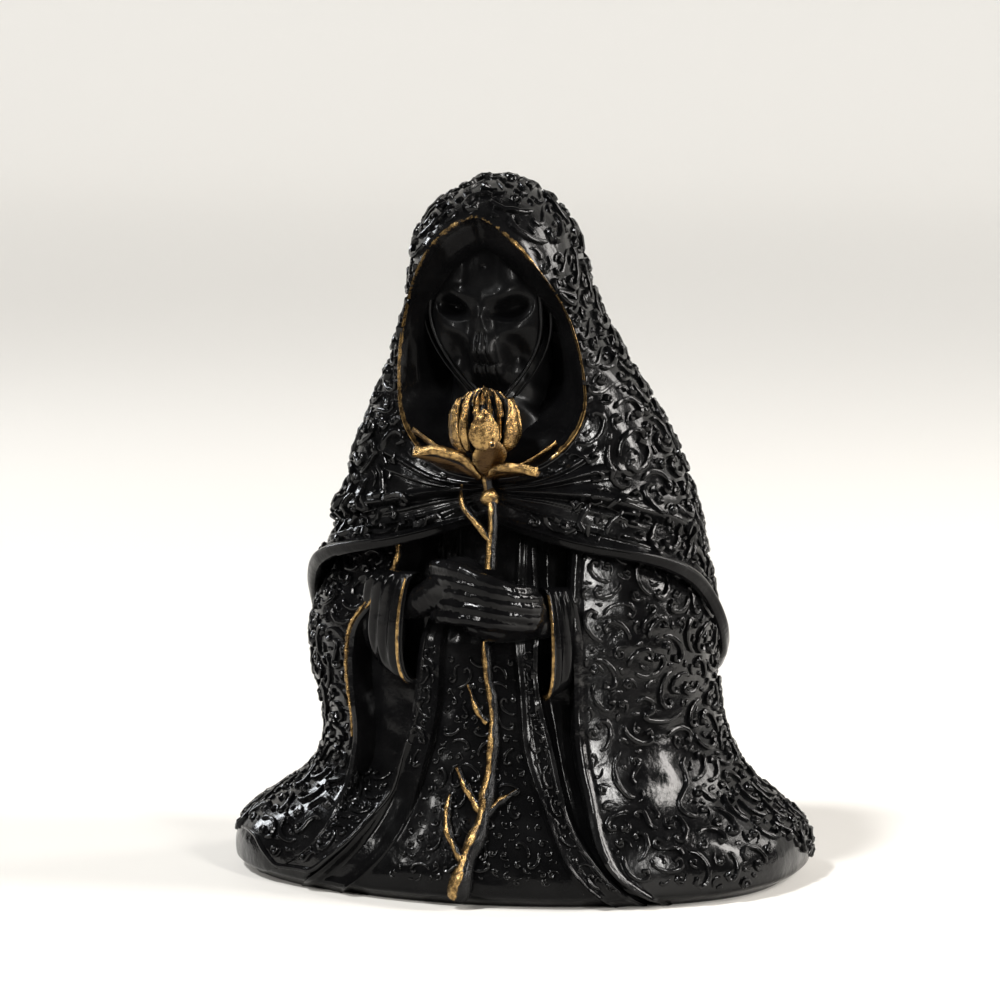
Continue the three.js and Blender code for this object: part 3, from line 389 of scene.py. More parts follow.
def frontSide(z, side, inner, outer, cloak):
    # stations from the gown over the band, into the recess and up on to the cloak's lip
    step = side * robe["lipWidth"] / readTable(cloakSections, z, 1)
    chest = smooth(*robe["chestRows"], z)
    gown = mix(robe["gown"], robe["chest"], chest)
    band = mix(robe["band"], robe["chest"] - 0.8, chest)
    recess = robe["recess"] * mix(0.45, 1, smooth(0, 12, z)) + 1.4 * chest
    lip = robe["lip"]
    if side < 0:
        low = 1 - smooth(*robe["joinRows"], z)
        recess, band, lip = mix(recess, 0.3, low), mix(band, 1.5, low * smooth(1, 4, z)), lip * (1 - low)
        edge = mix(band - 0.3, -0.5, low)
    else:
        edge = band - 0.3
    stations = [
        (inner, gown), (inner + 0.4 * step, band - 0.5), (inner + 1.6 * step, band),
        (mix(inner + step, outer, 1 / 3), band + 0.3), (mix(inner + step, outer, 2 / 3), band + 0.3),
        (outer - step, edge), (outer, mix(band + 0.4, edge, 0.5)), (outer + 0.6 * step, 0.85 * recess),
        (mix(outer, cloak, 1 / 3), recess), (mix(outer, cloak, 2 / 3), recess),
        (cloak - 0.4 * step, recess), (cloak, -0.6 * lip + 0 * z), (cloak + step, -lip + 0 * z),
        (cloak + 2.6 * step, 0 * z),
    ]
    return [np.stack(values, 1) for values in zip(*stations)]


def refineStations(angles, insets, counts):
    # more columns between the stations: straight in angle, s-shaped in depth
    pairs = []
    for k, count in enumerate(counts[:angles.shape[1] - 1]):
        share = np.arange(count) / count
        pairs.append((mix(angles[:, k:k + 1], angles[:, k + 1:k + 2], share),
                      mix(insets[:, k:k + 1], insets[:, k + 1:k + 2], smooth(0, 1, share))))
    pairs.append((angles[:, -1:], insets[:, -1:]))
    return [np.concatenate(values, 1) for values in zip(*pairs)]


def robeRows():
    hem = np.linspace(0, robe["hemRollTo"], robe["hemRows"], endpoint=False)
    return np.concatenate([hem, np.linspace(robe["hemRollTo"], robe["top"], robe["rows"])])


def robeGrid():
    z = robeRows()
    names = ("bandInRight", "bandOutRight", "cloakRight", "bandInLeft", "bandOutLeft", "cloakLeft")
    at = {name: edgeAngle(name, z) for name in names}
    right = refineStations(*frontSide(z, 1, *(at[n] for n in names[:3])), robe["gapColumns"])
    left = refineStations(*frontSide(z, -1, *(at[n] for n in names[3:])), robe["gapColumns"])
    rows = z[:, None]
    share = (np.arange(robe["backColumns"]) + 1) / (robe["backColumns"] + 1)
    behind = mix(right[0][:, -1:], left[0][:, -1:] + fullTurn, share)
    behindInset = foldInset(behind, rows) * np.sin(math.pi * share) ** 0.3
    share = (np.arange(robe["gownColumns"]) + 1) / (robe["gownColumns"] + 1)
    middle = mix(at["bandInLeft"][:, None], at["bandInRight"][:, None], share)
    gown = mix(robe["gown"], robe["chest"], smooth(*robe["chestRows"], rows))
    pleat = robe["pleat"] * np.cos(19 * share + 0.8 * np.sin(rows / 11))
    middleInset = gown - 0.5 * np.sin(math.pi * share) + pleat
    angles = np.concatenate([right[0], behind, left[0][:, ::-1] + 0 * rows, middle], 1)
    insets = np.concatenate([right[1], behindInset, left[1][:, ::-1], middleInset], 1)
    points = cloakPoint(angles, rows, insets + hemInset(rows))
    lift = robe["unevenness"] * (ripple(points, 16, 3) + 0.45 * ripple(points, 5, 4)) * smooth(0, 4, rows)
    outward = unit(points * np.array([1, 1, 0.0]))
    points = points + outward * lift[..., None]
    points[0, :, 2] = 0
    # painted shade on the gown, the bands beside it and the deep-set cloth between band and cloak
    side = right[0].shape[1]
    nearGown = np.arange(side) < sum(robe["gapColumns"][:6])
    dull = [np.maximum(robe["recessShade"] * smooth(1, 2.5, part[1]), robe["bandShade"] * nearGown)
            for part in (right, left)]
    dull = np.concatenate([dull[0], 0 * behind, dull[1][:, ::-1], robe["gownShade"] + 0 * middleInset], 1)
    return {"points": points, "side": side, "back": side + robe["backColumns"], "shade": dull}


# gilt cords along the cloak's edge: edge, distance outside it, height above the cloak, lowest and highest z, radius
gildedEdges = (
    ("cloakLeft", 2.5, 0.25, 30.0, 60.0, 0.5), ("cloakLeft", 0.7, 0.85, 56.0, 73.0, 0.5),
)


def edgeRod(name, away, proud, low, high, radius):
    # thin rod along an edge of the cloak, thinner toward its ends
    z = np.linspace(low, high, 70)
    side = edges[name][0]
    angle = edgeAngle(name, z) + side * away / readTable(cloakSections, z, 1)
    path = cloakPoint(angle, z, -proud + 0 * z)
    size = radius * (0.45 + 0.55 * np.sin(math.pi * np.linspace(0, 1, 70)) ** 0.4)
    size = size * (1 + 0.14 * np.sin(z * 2.3) + 0.08 * np.sin(z * 5.1))
    return lofts(rodRings(path, size, 12, (0, 1, 0)), gilt=np.ones((70, 12)), hollow=np.full((70, 12), 0.1))


# larger cords of the cloak, as angles and heights: a hooked hem at the left corner, and three scrolls
hemHook = ((-1.2, 8.9), (-1.07, 9.1), (-0.97, 8.5), (-0.88, 6.5), (-0.8, 4.7), (-0.71, 4.2), (-0.6, 4.8),
           (-0.53, 8.0), (-0.475, 12.0), (-0.455, 16.0), (-0.43, 21.0), (-0.43, 26.0), (-0.425, 29.2),
           (-0.395, 31.0), (-0.36, 30.2))
largeScrolls = (
    ((0.69, 29.8), (0.65, 27.6), (0.635, 24.8), (0.647, 22.8), (0.672, 21.2), (0.7, 21.1)),
    ((1.08, 27.4), (1.04, 26.3), (1.035, 24.4), (1.01, 22.4), (0.945, 20.6), (0.9, 19.2), (0.893, 17.6),
     (0.925, 16.8), (0.96, 17.4)),
    ((0.81, 39.0), (0.85, 39.6), (0.905, 38.5), (0.9, 37.0), (0.86, 36.3), (0.86, 35.4), (0.905, 34.9),
     (1.0, 34.7), (1.11, 35.8)),
)


def clothPath(spots, count=80):
    # line on the robe: each point is the mean of the sheet's points near it, weighted exp(-(d / 1.2)^2)
    route = smoothPath(spots, count)
    sheet = robeSheet["points"].reshape(-1, 3)
    guess = cloakPoint(route[:, 0], route[:, 1], 0)
    weight = bump(np.linalg.norm(guess[:, None] - sheet[None], axis=-1), 1.2)
    return weight @ sheet / weight.sum(1, keepdims=True)


def clothCord(spots, radius, flatten=0.85):
    # rounded cord that tapers to both ends, half sunk in the cloth
    path = clothPath(spots)
    share = np.linspace(0, 1, len(path))
    size = radius * (0.3 + 0.7 * np.sin(math.pi * share) ** 0.45) * (1 + 0.1 * np.sin(17 * share))
    outward = unit(path * np.array([1, 1, 0.0]))
    return lofts(rodRings(path + 0.25 * radius * outward, size, 14, (0.3, 1, 0), flatten))


robeSheet = robeGrid()
largeCords = [clothCord(spots, 0.72) for spots in largeScrolls] + [clothCord(hemHook, 0.62)]
robeSkin = lofts(robeSheet["points"], (0, 0, 0), (0, -2, 84), shade=robeSheet["shade"])
makePiece("robe_and_cloak", [robeSkin] + largeCords, blackLacquer)
makePiece("gilded_cloak_edge", [edgeRod(*edge) for edge in gildedEdges], antiqueGold)


# Hood and cape

# height, half width, front y, back y, squareness of the front
hoodSections = [
    (141, 0, -12, -12, 2.0), (138.9, 7.2, -23, -5, 2.1), (135.4, 11.7, -29.2, 0, 2.3),
    (130, 14.8, -33.2, 5, 2.6), (125, 16.0, -34.0, 8.3, 2.8), (120, 16.8, -34.4, 11, 2.9),
    (115, 18.2, -34.0, 13.3, 2.9), (110, 20.1, -32.2, 15.5, 2.9), (104, 23.0, -29.4, 18, 2.8),
    (98, 26.7, -27.4, 20.4, 2.6), (90, 30.8, -28.0, 23, 2.4), (83, 33.2, -29.6, 25, 2.3),
    (75, 35.6, -30.6, 27, 2.3), (67, 37.6, -31.4, 29, 2.3), (60, 39.0, -32, 30.5, 2.3),
    (45, 41.0, -34, 33.6, 2.3), (30, 42.5, -35, 36, 2.3),
]
hemHeights = [(0, 76), (30, 71), (60, 66.5), (80, 59.5), (100, 46.5), (130, 39), (180, 36.5)]
hood = {
    "top": 141.0, "heart": np.array([-1.0, -9.0, 72.0]), "lean": -2.0, "leanRows": (60, 141),
    "middleBack": (-1.0, -12.0), "backSquareness": 2.1, "hemShift": -0.9,
    "rimApex": 133.4, "rimWidest": 98.5, "rimFoot": 83.2, "rimHalfWidth": 18.6, "rimShoulder": 0.68,
    "rimBead": 0.8, "rimBeadWidth": 0.02,
    "flare": 2.2, "flareLeft": 3.4,
    "hemRoll": 0.8, "hemRollWide": 1.6, "rollShade": 0.9, "liningShade": 1.15, "gildedTo": 0.8, "goldLine": (0.35, 0.95),
    "columns": 256, "rows": 146, "unevenness": 0.3,
    "liningPole": np.array([-1.0, -2.0, 108.0]), "underPole": np.array([0.0, -4.0, 79.0]),
}
hoodTable = [(math.sqrt(hood["top"] - row[0]), *row[1:]) for row in hoodSections]
# folds of the cape: side, height, width, where it starts, its rows at turns 0.6, 0.7, 0.8, 0.9 and 1
capeFolds = (
    (-1, 0.9, 0.026, 0.58, (0.38, 0.30, 0.21, 0.2, 0.2)), (-1, 0.5, 0.022, 0.68, (0.5, 0.42, 0.32, 0.28, 0.26)),
    (-1, 2.3, 0.05, 0.44, (0.7, 0.7, 0.61, 0.42, 0.3)), (-1, 0.6, 0.026, 0.7, (0.82, 0.79, 0.72, 0.55, 0.4)),
    (-1, 0.7, 0.016, 0.58, (0.86, 0.865, 0.83, 0.72, 0.5)), (-1, 1.0, 0.016, 0.5, (0.91, 0.915, 0.89, 0.83, 0.6)),
    (1, 0.9, 0.028, 0.68, (0.3, 0.22, 0.2, 0.2, 0.2)), (1, 1.1, 0.036, 0.62, (0.5, 0.41, 0.31, 0.26, 0.24)),
    (1, 1.9, 0.046, 0.4, (0.72, 0.68, 0.5, 0.36, 0.3)), (1, 0.6, 0.028, 0.66, (0.82, 0.79, 0.66, 0.47, 0.36)),
    (1, 0.9, 0.022, 0.62, (0.93, 0.92, 0.86, 0.7, 0.5)),
)


def hoodSection(z):
    key = np.sqrt(np.maximum(hood["top"] - z, 0))
    half, front, back, square = (readTable(hoodTable, key, column) for column in (1, 2, 3, 4))
    lean = smooth(*hood["leanRows"], z)
    x = hood["lean"] * lean * lean + hood["hemShift"] * (1 - smooth(56, 76, z))
    return half, front, back, square, x, mix(*hood["middleBack"], lean)


def insideHood(points):
    # superellipse section at each height: |x/half|^p + |y/depth|^p < 1
    half, front, back, square, x, y = hoodSection(points[..., 2])
    ahead = points[..., 1] < y
    power = np.where(ahead, square, hood["backSquareness"])
    across = np.abs(points[..., 0] - x) / np.maximum(half, 1e-6)
    along = np.abs(points[..., 1] - y) / np.maximum(np.abs(np.where(ahead, front, back) - y), 1e-6)
    return (points[..., 2] < hood["top"]) & (across**power + along**power < 1)


def hoodReach(direction):
    # farthest point of the form from its heart in each direction, by halving
    near, far = np.zeros(direction.shape[:-1]), np.full(direction.shape[:-1], 130.0)
    for _ in range(26):
        middle = (near + far) / 2
        within = insideHood(hood["heart"] + direction * middle[..., None])
        near, far = np.where(within, middle, near), np.where(within, far, middle)
    return near


def rimPoint(turn):
    # opening of the hood: a pointed arch above, a rounded foot below
    share, side = np.abs(turn), np.where(turn < 0, -1, 1)
    drop = np.clip(share / hood["rimShoulder"], 0, 1) ** 1.4
    around = np.clip((share - hood["rimShoulder"]) / (1 - hood["rimShoulder"]), 0, 1) * math.pi / 2
    above = share < hood["rimShoulder"]
    low = hood["rimWidest"] - (hood["rimWidest"] - hood["rimFoot"]) * np.sin(around) ** 0.95
    z = np.where(above, mix(hood["rimApex"], hood["rimWidest"], drop), low)
    across = np.where(above, np.sin(math.pi / 2 * drop**0.65), np.abs(np.cos(around)) ** 0.95)
    half, front, _, square, x, y = hoodSection(z)
    ratio = np.clip(across * hood["rimHalfWidth"] / half, 0, 1)
    return np.stack([side * across * hood["rimHalfWidth"] + x,
                     y + (front - y) * (1 - ratio**square) ** (1 / square), z], -1)


def hemPoint(turn):
    around = 180 * (1 - np.abs(turn)) ** 0.9
    angle = around * degree * np.where(turn < 0, -1, 1)
    z = readTable(hemHeights, around, 1)
    half, front, back, square, x, y = hoodSection(z)
    ahead = np.cos(angle) > 0
    depth = np.abs(np.where(ahead, front, back) - y)
    power = np.where(ahead, square, hood["backSquareness"])
    reach = (np.abs(np.sin(angle) / half) ** power + np.abs(np.cos(angle) / depth) ** power) ** (-1 / power)
    return np.stack([x + reach * np.sin(angle), y - reach * np.cos(angle), z], -1)


def foldLift(turn, share, side, height, width, start, rows):
    # ridge along a row of the cape, steeper below than above, with a groove under it
    aside = turn * side
    row = readTable([(0.6 + 0.1 * k, at) for k, at in enumerate(rows)], aside, 1)
    below = share - row - 0.008 * np.sin(13 * turn + 9 * start)
    spread = width * np.where(below > 0, 0.62, 1.5) * (1 + 0.25 * np.sin(8 * turn + 5 * height))
    strength = smooth(start, start + 0.16, aside) * (0.85 + 0.15 * np.sin(15 * turn + 70 * width))
    return height * strength * (bump(below, spread) - 0.3 * bump(below - 1.25 * width, 0.5 * width))


def hoodLift(turn, share):
    # folds that meet at the throat, the flared hem with its thick roll, the rim's bead
    side = np.abs(turn)
    folds = sum(foldLift(turn, share, *fold) for fold in capeFolds)
    size = mix(hood["flare"], hood["flareLeft"], smooth(0.2, 0.45, -turn))
    flare = size * smooth(0.86, 1, share) * mix(0.3, 1, 1 - smooth(0.7, 1, side))
    wide = np.maximum(bump(turn - 0.52, 0.14), 0.6 * bump(turn + 0.64, 0.12))
    roll = mix(hood["hemRoll"], hood["hemRollWide"], wide) * bump(share - mix(0.972, 0.956, wide), mix(0.02, 0.034, wide))
    fade = 1 - 0.6 * smooth(0.92, 1, side)
    return (folds + roll) * fade + flare + hood["rimBead"] * bump(share, hood["rimBeadWidth"])


def hoodPoint(turn, share):
    # part way from the rim to the hem along a great circle round the heart, then out to the form
    start, end = unit(rimPoint(turn) - hood["heart"]), unit(hemPoint(turn) - hood["heart"])
    arc = np.arccos(np.clip((start * end).sum(-1), -1, 1))
    direction = unit(start * np.sin((1 - share) * arc)[..., None] + end * np.sin(share * arc)[..., None])
    reach = hoodReach(direction)
    bare = hood["heart"] + direction * reach[..., None]
    uneven = hood["unevenness"] * (ripple(bare, 15, 11) + 0.35 * ripple(bare, 5, 12)) * smooth(0.02, 0.1, share)
    return bare + direction * (hoodLift(turn, share) + uneven)[..., None]


def hoodGrid():
    share = np.concatenate([np.linspace(0, 0.03, 12), np.linspace(0.036, 0.94, hood["rows"]),
                            np.linspace(0.945, 1, 14)])[:, None]
    turn = 1 - 2 * np.arange(hood["columns"])[None] / hood["columns"]
    share, turn = np.broadcast_arrays(share, turn)
    return share, turn, hoodPoint(turn, share)


def hoodLining(rim):
    # rings that shrink from the rim toward the lining's pole, deeper as they go in
    size = np.linspace(0.1, 0.985, 26)[:, None]
    depth = np.interp(size, [0.1, 0.26, 0.55, 0.8, 0.95, 1], [0.02, 0.1, 0.58, 0.84, 0.952, 1])
    pole = hood["liningPole"]
    return np.stack([mix(pole[0], rim[None, :, 0], size), mix(pole[1], rim[None, :, 1], depth),
                     mix(pole[2], rim[None, :, 2], size)], -1)


def capeUnderside(hem):
    # the roll's lower half, then up and inward under the cape
    pole, rings = hood["underPole"], []
    for size, z in ((0.992, hem[:, 2] - 0.7), (0.975, hem[:, 2] - 1.2), (0.952, hem[:, 2] - 0.9),
                    (0.935, hem[:, 2] + 0.5), (0.86, hem[:, 2] + 5.0), (0.45, mix(pole[2], hem[:, 2], 0.3))):
        ring = mix(pole, hem, size)
        ring[:, 2] = z
        rings.append(ring)
    return np.array(rings)


hoodShare, hoodTurn, hoodOuter = hoodGrid()
lining = hoodLining(hoodOuter[0])
underside = capeUnderside(hoodOuter[-1])
hoodRings = np.concatenate([lining, hoodOuter, underside])
fromRim = np.linalg.norm(hoodRings - hoodOuter[0], axis=-1)
gildedRim = (1 - smooth(*hood["goldLine"], fromRim)) * (1 - smooth(hood["gildedTo"], 0.9, np.abs(hoodTurn[0])))
hoodGilt = gildedRim * (0.5 + 0.3 * ripple(hoodOuter[0], 12, 5) + 0.3 * smooth(0.25, 0.6, np.abs(hoodTurn[0])))
inside = np.arange(len(hoodRings))[:, None] < len(lining)
# painted shade deep in the hood's lining and under the hem's roll and the cape
rollShade = np.concatenate([0 * lining[..., 0], hood["rollShade"] * smooth(0.965, 0.985, hoodShare),
                            hood["rollShade"] + 0 * underside[..., 0]])
hoodShade = np.where(inside, hood["liningShade"] * smooth(0.7, 2.4, fromRim), rollShade)
makePiece("hood_and_cape", [lofts(hoodRings, hood["liningPole"], hood["underPole"], gilt=hoodGilt,
                                  shade=hoodShade)], blackLacquer)


# Skull face, as a height over its own outline

face = {
    "centre": np.array([-1.9, -19.5, 114.6]), "half": 11.0, "up": 18.2, "down": 16.2, "bulge": 7.4,
    "rim": 7.0, "columns": 240, "rings": 130, "narrowBelow": 0.5, "narrowAbove": 0.1, "lean": 0.11, "shade": 0.88,
    "noseSheen": 0.5,
}
socket = {"aside": 5.9, "height": 1.4, "wide": 4.0, "high": 2.4, "depth": 3.9, "tilt": 0.34}
jaw = {"height": -8.6, "wide": 3.3, "high": 4.4, "proud": 1.9, "pitch": 0.92, "bite": -9.4}


def socketDepth(aside, z):
    # slanting bowl with a rim, and a brow above it that drops toward the nose
    cosT, sinT = math.cos(socket["tilt"]), math.sin(socket["tilt"])
    u = (aside - socket["aside"]) * cosT + (z - socket["height"]) * sinT
    v = -(aside - socket["aside"]) * sinT + (z - socket["height"]) * cosT
    ring = np.sqrt((u / socket["wide"]) ** 2 + (v / (socket["high"] * (1 + 0.14 * u / socket["wide"]))) ** 2)
    hole = socket["depth"] * (1 - smooth(0.1, 1.14, ring))
    brow = 0.95 * bump(u + 1.2, 4.4) * bump(v - 3.5, 1.4)
    return hole - brow


def noseHeight(x, aside, z):
    # long ridge from between the sockets down to the teeth, wider below, with two narrow slits
    wide = 1.5 + 0.26 * np.maximum(-z, 0)
    ridge = 1.7 * np.exp(-(np.abs(x / wide) ** 2.1)) * smooth(-9.5, -6.0, z) * (1 - smooth(-0.5, 3.8, z))
    slits = 0.6 * bump(aside - 0.6 - 0.12 * (-3.4 - z), 0.32) * np.exp(-(((z + 4.2) / 1.3) ** 4))
    return ridge - slits


def teethHeight(x, z):
    # upright teeth in two rows that meet at the bite, with the roots' ridges above and below
    biting = np.exp(-((x / jaw["wide"]) ** 6))
    bite = jaw["bite"] + 0.1 * np.sin(2.7 * x)
    upper = np.abs(np.cos(math.pi * x / (2 * jaw["pitch"]))) ** 0.5
    lower = np.abs(np.sin(math.pi * x / (2 * jaw["pitch"]))) ** 0.5
    crowns = (0.8 * upper * np.exp(-(((z - bite - 1.5) / 1.45) ** 4))
              + 0.65 * lower * np.exp(-(((z - bite + 1.2) / 1.15) ** 4)))
    roots = 0.45 * upper * bump(z - bite - 3.6, 1.5) + 0.35 * lower * bump(z - bite + 3.0, 1.3)
    gap = 0.3 * np.exp(-(((z - bite) / 0.2) ** 2))
    return biting * (crowns + roots - gap - 0.4)


def faceDepth(x, z):
    # dome of the skull with sockets, cheekbones, hollow cheeks, temples, nose and teeth
    across, up = x / face["half"], z / np.where(z > 0, face["up"], face["down"])
    dome = face["bulge"] * np.sqrt(np.maximum(0, 1 - 0.82 * across**2 - 0.75 * up**2))
    aside = np.sqrt(x * x + 0.04)
    cheek = 0.9 * bump(aside - 5.8, 3.0) * bump(z + 2.9 - 0.28 * (aside - 5.8), 1.5)
    hollow = 2.4 * bump(aside - 5.9, 2.4) * bump(z + 7.6, 3.2)
    temple = 1.0 * bump(aside - 9.4, 2.2) * bump(z - 8.5, 4.2)
    forehead = 0.5 * bump(x, 6) * bump(z - 9, 5)
    muzzle = jaw["proud"] * np.exp(-((x / jaw["wide"]) ** 4 + ((z - jaw["height"]) / jaw["high"]) ** 4))
    crease = 0.22 * bump(x - 0.3, 0.5) * bump(z - 9.6, 0.35)
    return (dome - socketDepth(aside, z) + cheek - hollow - temple + forehead + noseHeight(x, aside, z) + muzzle
            + teethHeight(x, z) - crease)


def faceOutline(turn, width, up, down):
    low = np.sin(turn) < 0
    narrow = 1 - np.where(low, face["narrowBelow"], face["narrowAbove"]) * np.sin(turn) ** 2
    return width * np.cos(turn) * narrow, np.where(low, down, up) * np.sin(turn)


def faceLean(z):
    # the chin stands a little toward the figure's left
    return face["lean"] * np.maximum(-z, 0)


def faceSkin():
    share = (np.arange(face["rings"]) + 1)[:, None] / face["rings"]
    turn = np.arange(face["columns"])[None] / face["columns"] * fullTurn
    x, z = faceOutline(turn, share * face["half"], share * face["up"], share * face["down"])
    rings = np.stack([x + faceLean(z), -faceDepth(x, z), z], -1) + face["centre"]
    back = rings[-1] * np.array([1, 0, 1]) + np.array([0, face["centre"][1] + face["rim"], 0])
    tip = np.array([0, -faceDepth(np.array(0.0), np.array(0.0)), 0]) + face["centre"]
    # painted shade over the face, deepest in the sockets, lifted on the nose ridge so a sheen shows there
    inSocket = smooth(0.4, 1.6, socketDepth(np.abs(x), z))
    shade = mix(face["shade"], 1.15, inSocket) - face["noseSheen"] * bump(x, 2.4) * bump(z + 6, 4)
    shade = np.concatenate([shade, shade[-1:]])
    return lofts(np.concatenate([rings, back[None]]), tip, shade=shade)


makePiece("skull_face", [faceSkin()], satinLacquer)


# Inner cowl round the face and over the chest

# height, half width, front y
cowlSections = [
    (78, 17, -26), (85, 17.4, -26), (91, 14.6, -24.6), (97, 11.8, -23), (103, 11.8, -22.4),
    (109, 12.8, -22.2), (116, 13.4, -22), (123, 12.8, -21.8), (128, 10.6, -20.6), (132, 6.6, -18.6),
]
cowl = {"middle": (-0.8, -8.0), "columns": 200, "rows": 96, "drapes": 9, "drape": 0.5, "slant": 7.5}


def cowlSkin():
    # oval sections with drapes that slant down across the chest
    z = np.linspace(78, 132, cowl["rows"])[:, None]
    turn = np.arange(cowl["columns"])[None] / cowl["columns"] * fullTurn
    half, front = readTable(cowlSections, z, 1), readTable(cowlSections, z, 2)
    low = 1 - smooth(92, 106, z)
    drape = cowl["drape"] * low * np.cos(cowl["drapes"] * turn)
    slant = 0.45 * smooth(78, 86, z) * (1 - smooth(96, 110, z)) * np.sin((z + cowl["slant"] * turn) * 1.15)
    depth = np.where(np.cos(turn) > 0, front - cowl["middle"][1] - drape - 0.5 * slant * np.cos(turn), front * 0.3)
    x = cowl["middle"][0] + (half + drape + slant) * np.sin(turn)
    y = cowl["middle"][1] + depth * np.cos(turn)
    return lofts(np.stack([x, y, z + 0 * x], -1))


def cowlRoll(out, radius, forward, spanFrom=-86, spanTo=266):
    # thin rolled edge that follows the face's outline at a distance
    turn = np.linspace(spanFrom, spanTo, 110) * degree
    x, z = faceOutline(turn, face["half"] + out, face["up"] + out * 0.4, face["down"] + 0.9 + out)
    y = -forward - 1.2 * np.minimum(np.sin(turn), 0) ** 2
    path = np.stack([x + faceLean(z), y, z], -1) + face["centre"]
    share = np.abs(np.linspace(-1, 1, 110))
    taper = radius * (1 - 0.5 * share**3) * (1 + 0.12 * np.sin(9 * x))
    return lofts(rodRings(path, taper, 12, (0, 1, 0), 1.6))


makePiece("cowl", [cowlSkin(), cowlRoll(0.2, 0.4, 3.4), cowlRoll(1.8, 0.36, 1.9, -58, 238)], satinLacquer)


# Bell sleeves with long drop-shaped cuffs

sleeve = {
    "left": {"cuff": (11.4, -30.8, 51.2), "reach": 7.6}, "right": {"cuff": (13.6, -30.8, 53.4), "reach": 13.4},
    "columns": 120, "stations": 110, "edge": 0.5, "pleats": 0.85, "pleatsAlong": 5.8, "dull": 0.85,
}
# how far back, height, width, outward direction of each station from the elbow to inside the cuff
sleeveStations = [
    (1.0, 7.0, 5.0, -0.82, 0.57), (0.55, 8.6, 4.6, -0.82, 0.57), (0.22, 10.0, 4.1, -0.76, 0.65),
    (0.06, 10.7, 3.9, -0.72, 0.7), (0.0, 10.9, 3.8, -0.7, 0.72), (0.005, 10.5, 3.4, -0.7, 0.72),
    (0.02, 10.1, 2.9, -0.7, 0.72), (0.18, 8.4, 2.2, -0.76, 0.65),
]


def sleeveRidge(back, turn):
    # narrow folds beside the cuff, |cos(pi n sqrt(back))|^4, that close up toward its top, and where they lie
    drop = np.cos(turn)
    outside = smooth(0.1, 0.7, -np.sin(turn)) * smooth(-0.95, -0.1, drop) * smooth(0, 0.08, back)
    return np.abs(np.cos(math.pi * sleeve["pleatsAlong"] * back**0.5 + 0.35 * drop)) ** 4, outside


def sleevePoint(side, station, turn):
    # long upright oval, wider below: wide |sin t|^0.7 (1 - 0.2 cos t) across, high cos t up
    back, high, wide, outX, outY = (station[..., k] for k in range(5))
    back = np.maximum(back, 0)
    own = sleeve["left"] if side > 0 else sleeve["right"]
    drop = np.cos(turn)
    away = wide * np.sign(np.sin(turn)) * np.abs(np.sin(turn)) ** 0.7 * (1 - 0.2 * drop)
    ridge, outside = sleeveRidge(back, turn)
    folds = sleeve["pleats"] * (ridge - 0.25) * outside
    x = own["cuff"][0] + own["reach"] * back**0.5 + outX * away + 0.8 * folds
    y = own["cuff"][1] + 20 * back * (1 - 0.35 * smooth(0.1, 1, drop)) + outY * away - folds
    return np.stack([side * x, y, own["cuff"][2] + 3 * back + high * drop], -1)


def sleeveSkin(side):
    stations = smoothPath(sleeveStations, sleeve["stations"])[:, None]
    turn = np.arange(sleeve["columns"])[None] / sleeve["columns"] * fullTurn
    # painted shade over the sleeve, left off along the ridges of the folds so only they shine
    ridge, outside = sleeveRidge(np.maximum(stations[..., 0], 0), turn)
    return lofts(sleevePoint(side, stations + 0 * turn[..., None], turn + 0 * stations[..., 0]),
                 shade=sleeve["dull"] * (1 - ridge * outside))


def cuffEdge(side):
    turn = -(0.08 + 1.0 * np.linspace(0, 1, 60)) * math.pi
    station = np.array([0.003, 10.9, 3.8, -0.7, 0.72])
    path = sleevePoint(side, station + np.zeros((60, 1)), turn)
    share = np.linspace(0, 1, 60)
    radii = sleeve["edge"] * (0.5 + 0.5 * np.sin(math.pi * share) ** 0.5) * (1 + 0.4 * smooth(0.6, 0.85, share))
    rings = rodRings(path, radii, 12, (0.72 * side, 0.7, 0))
    out = unit(rings - path[:, None])
    paint = smooth(0.02, 0.15, share)[:, None] * smooth(-0.2, 0.5, out @ np.array([-0.8, -0.5, 0.2]))
    return lofts(rings, gilt=1.1 * paint)


for side, label in ((1, "left"), (-1, "right")):
    makePiece(f"{label}_sleeve", [sleeveSkin(side), cuffEdge(side)], blackLacquer)


# Hands: rays run inward from a tube round the wrists until they meet a smooth join of rods and eggs

hands = {
    "from": -16.4, "to": 14.1, "slices": 200, "around": 170, "tube": 15.0, "blend": 0.38, "steps": 60, "dull": 0.85,
    # height at the knuckles, droop toward the tip, shift along x, size
    "fingers": ((66.3, 3.8, -0.9, 0.94), (63.7, 2.7, 0.0, 1.02), (61.2, 1.9, 0.5, 1.0), (58.7, 1.2, 0.2, 0.96),
                (56.3, 0.5, -0.8, 0.86)),
    "fingerPath": ((-8.6, -33.4, -0.4, 1.3), (-6.6, -35.6, 0.0, 1.5), (-3.2, -37.9, 0.3, 1.62),
                   (0.6, -39.0, 0.3, 1.5), (4.0, -39.3, 0.1, 1.52), (7.4, -38.6, -0.2, 1.45),
                   (10.2, -36.6, -0.6, 1.4), (11.3, -33.8, -0.9, 1.2)),
    "palms": (((-4.4, -32.8, 61.6), (6.2, 4.2, 6.2)), ((4.0, -34.0, 56.2), (8.4, 5.2, 4.9))),
    "wrists": (((-17, -28.6, 56.4, 2.2), (-12.5, -30.6, 58.6, 3.2), (-5, -32.6, 62.6, 4.8)),
               ((14.6, -29.2, 53.6, 1.9), (11.4, -31.0, 54.8, 2.8), (6, -32.8, 56.4, 4.6))),
    "axis": ((-16.5, -28.8, 56.6), (-9, -31, 60.4), (3, -32.4, 59.4), (14.2, -29.6, 53.9)),
}


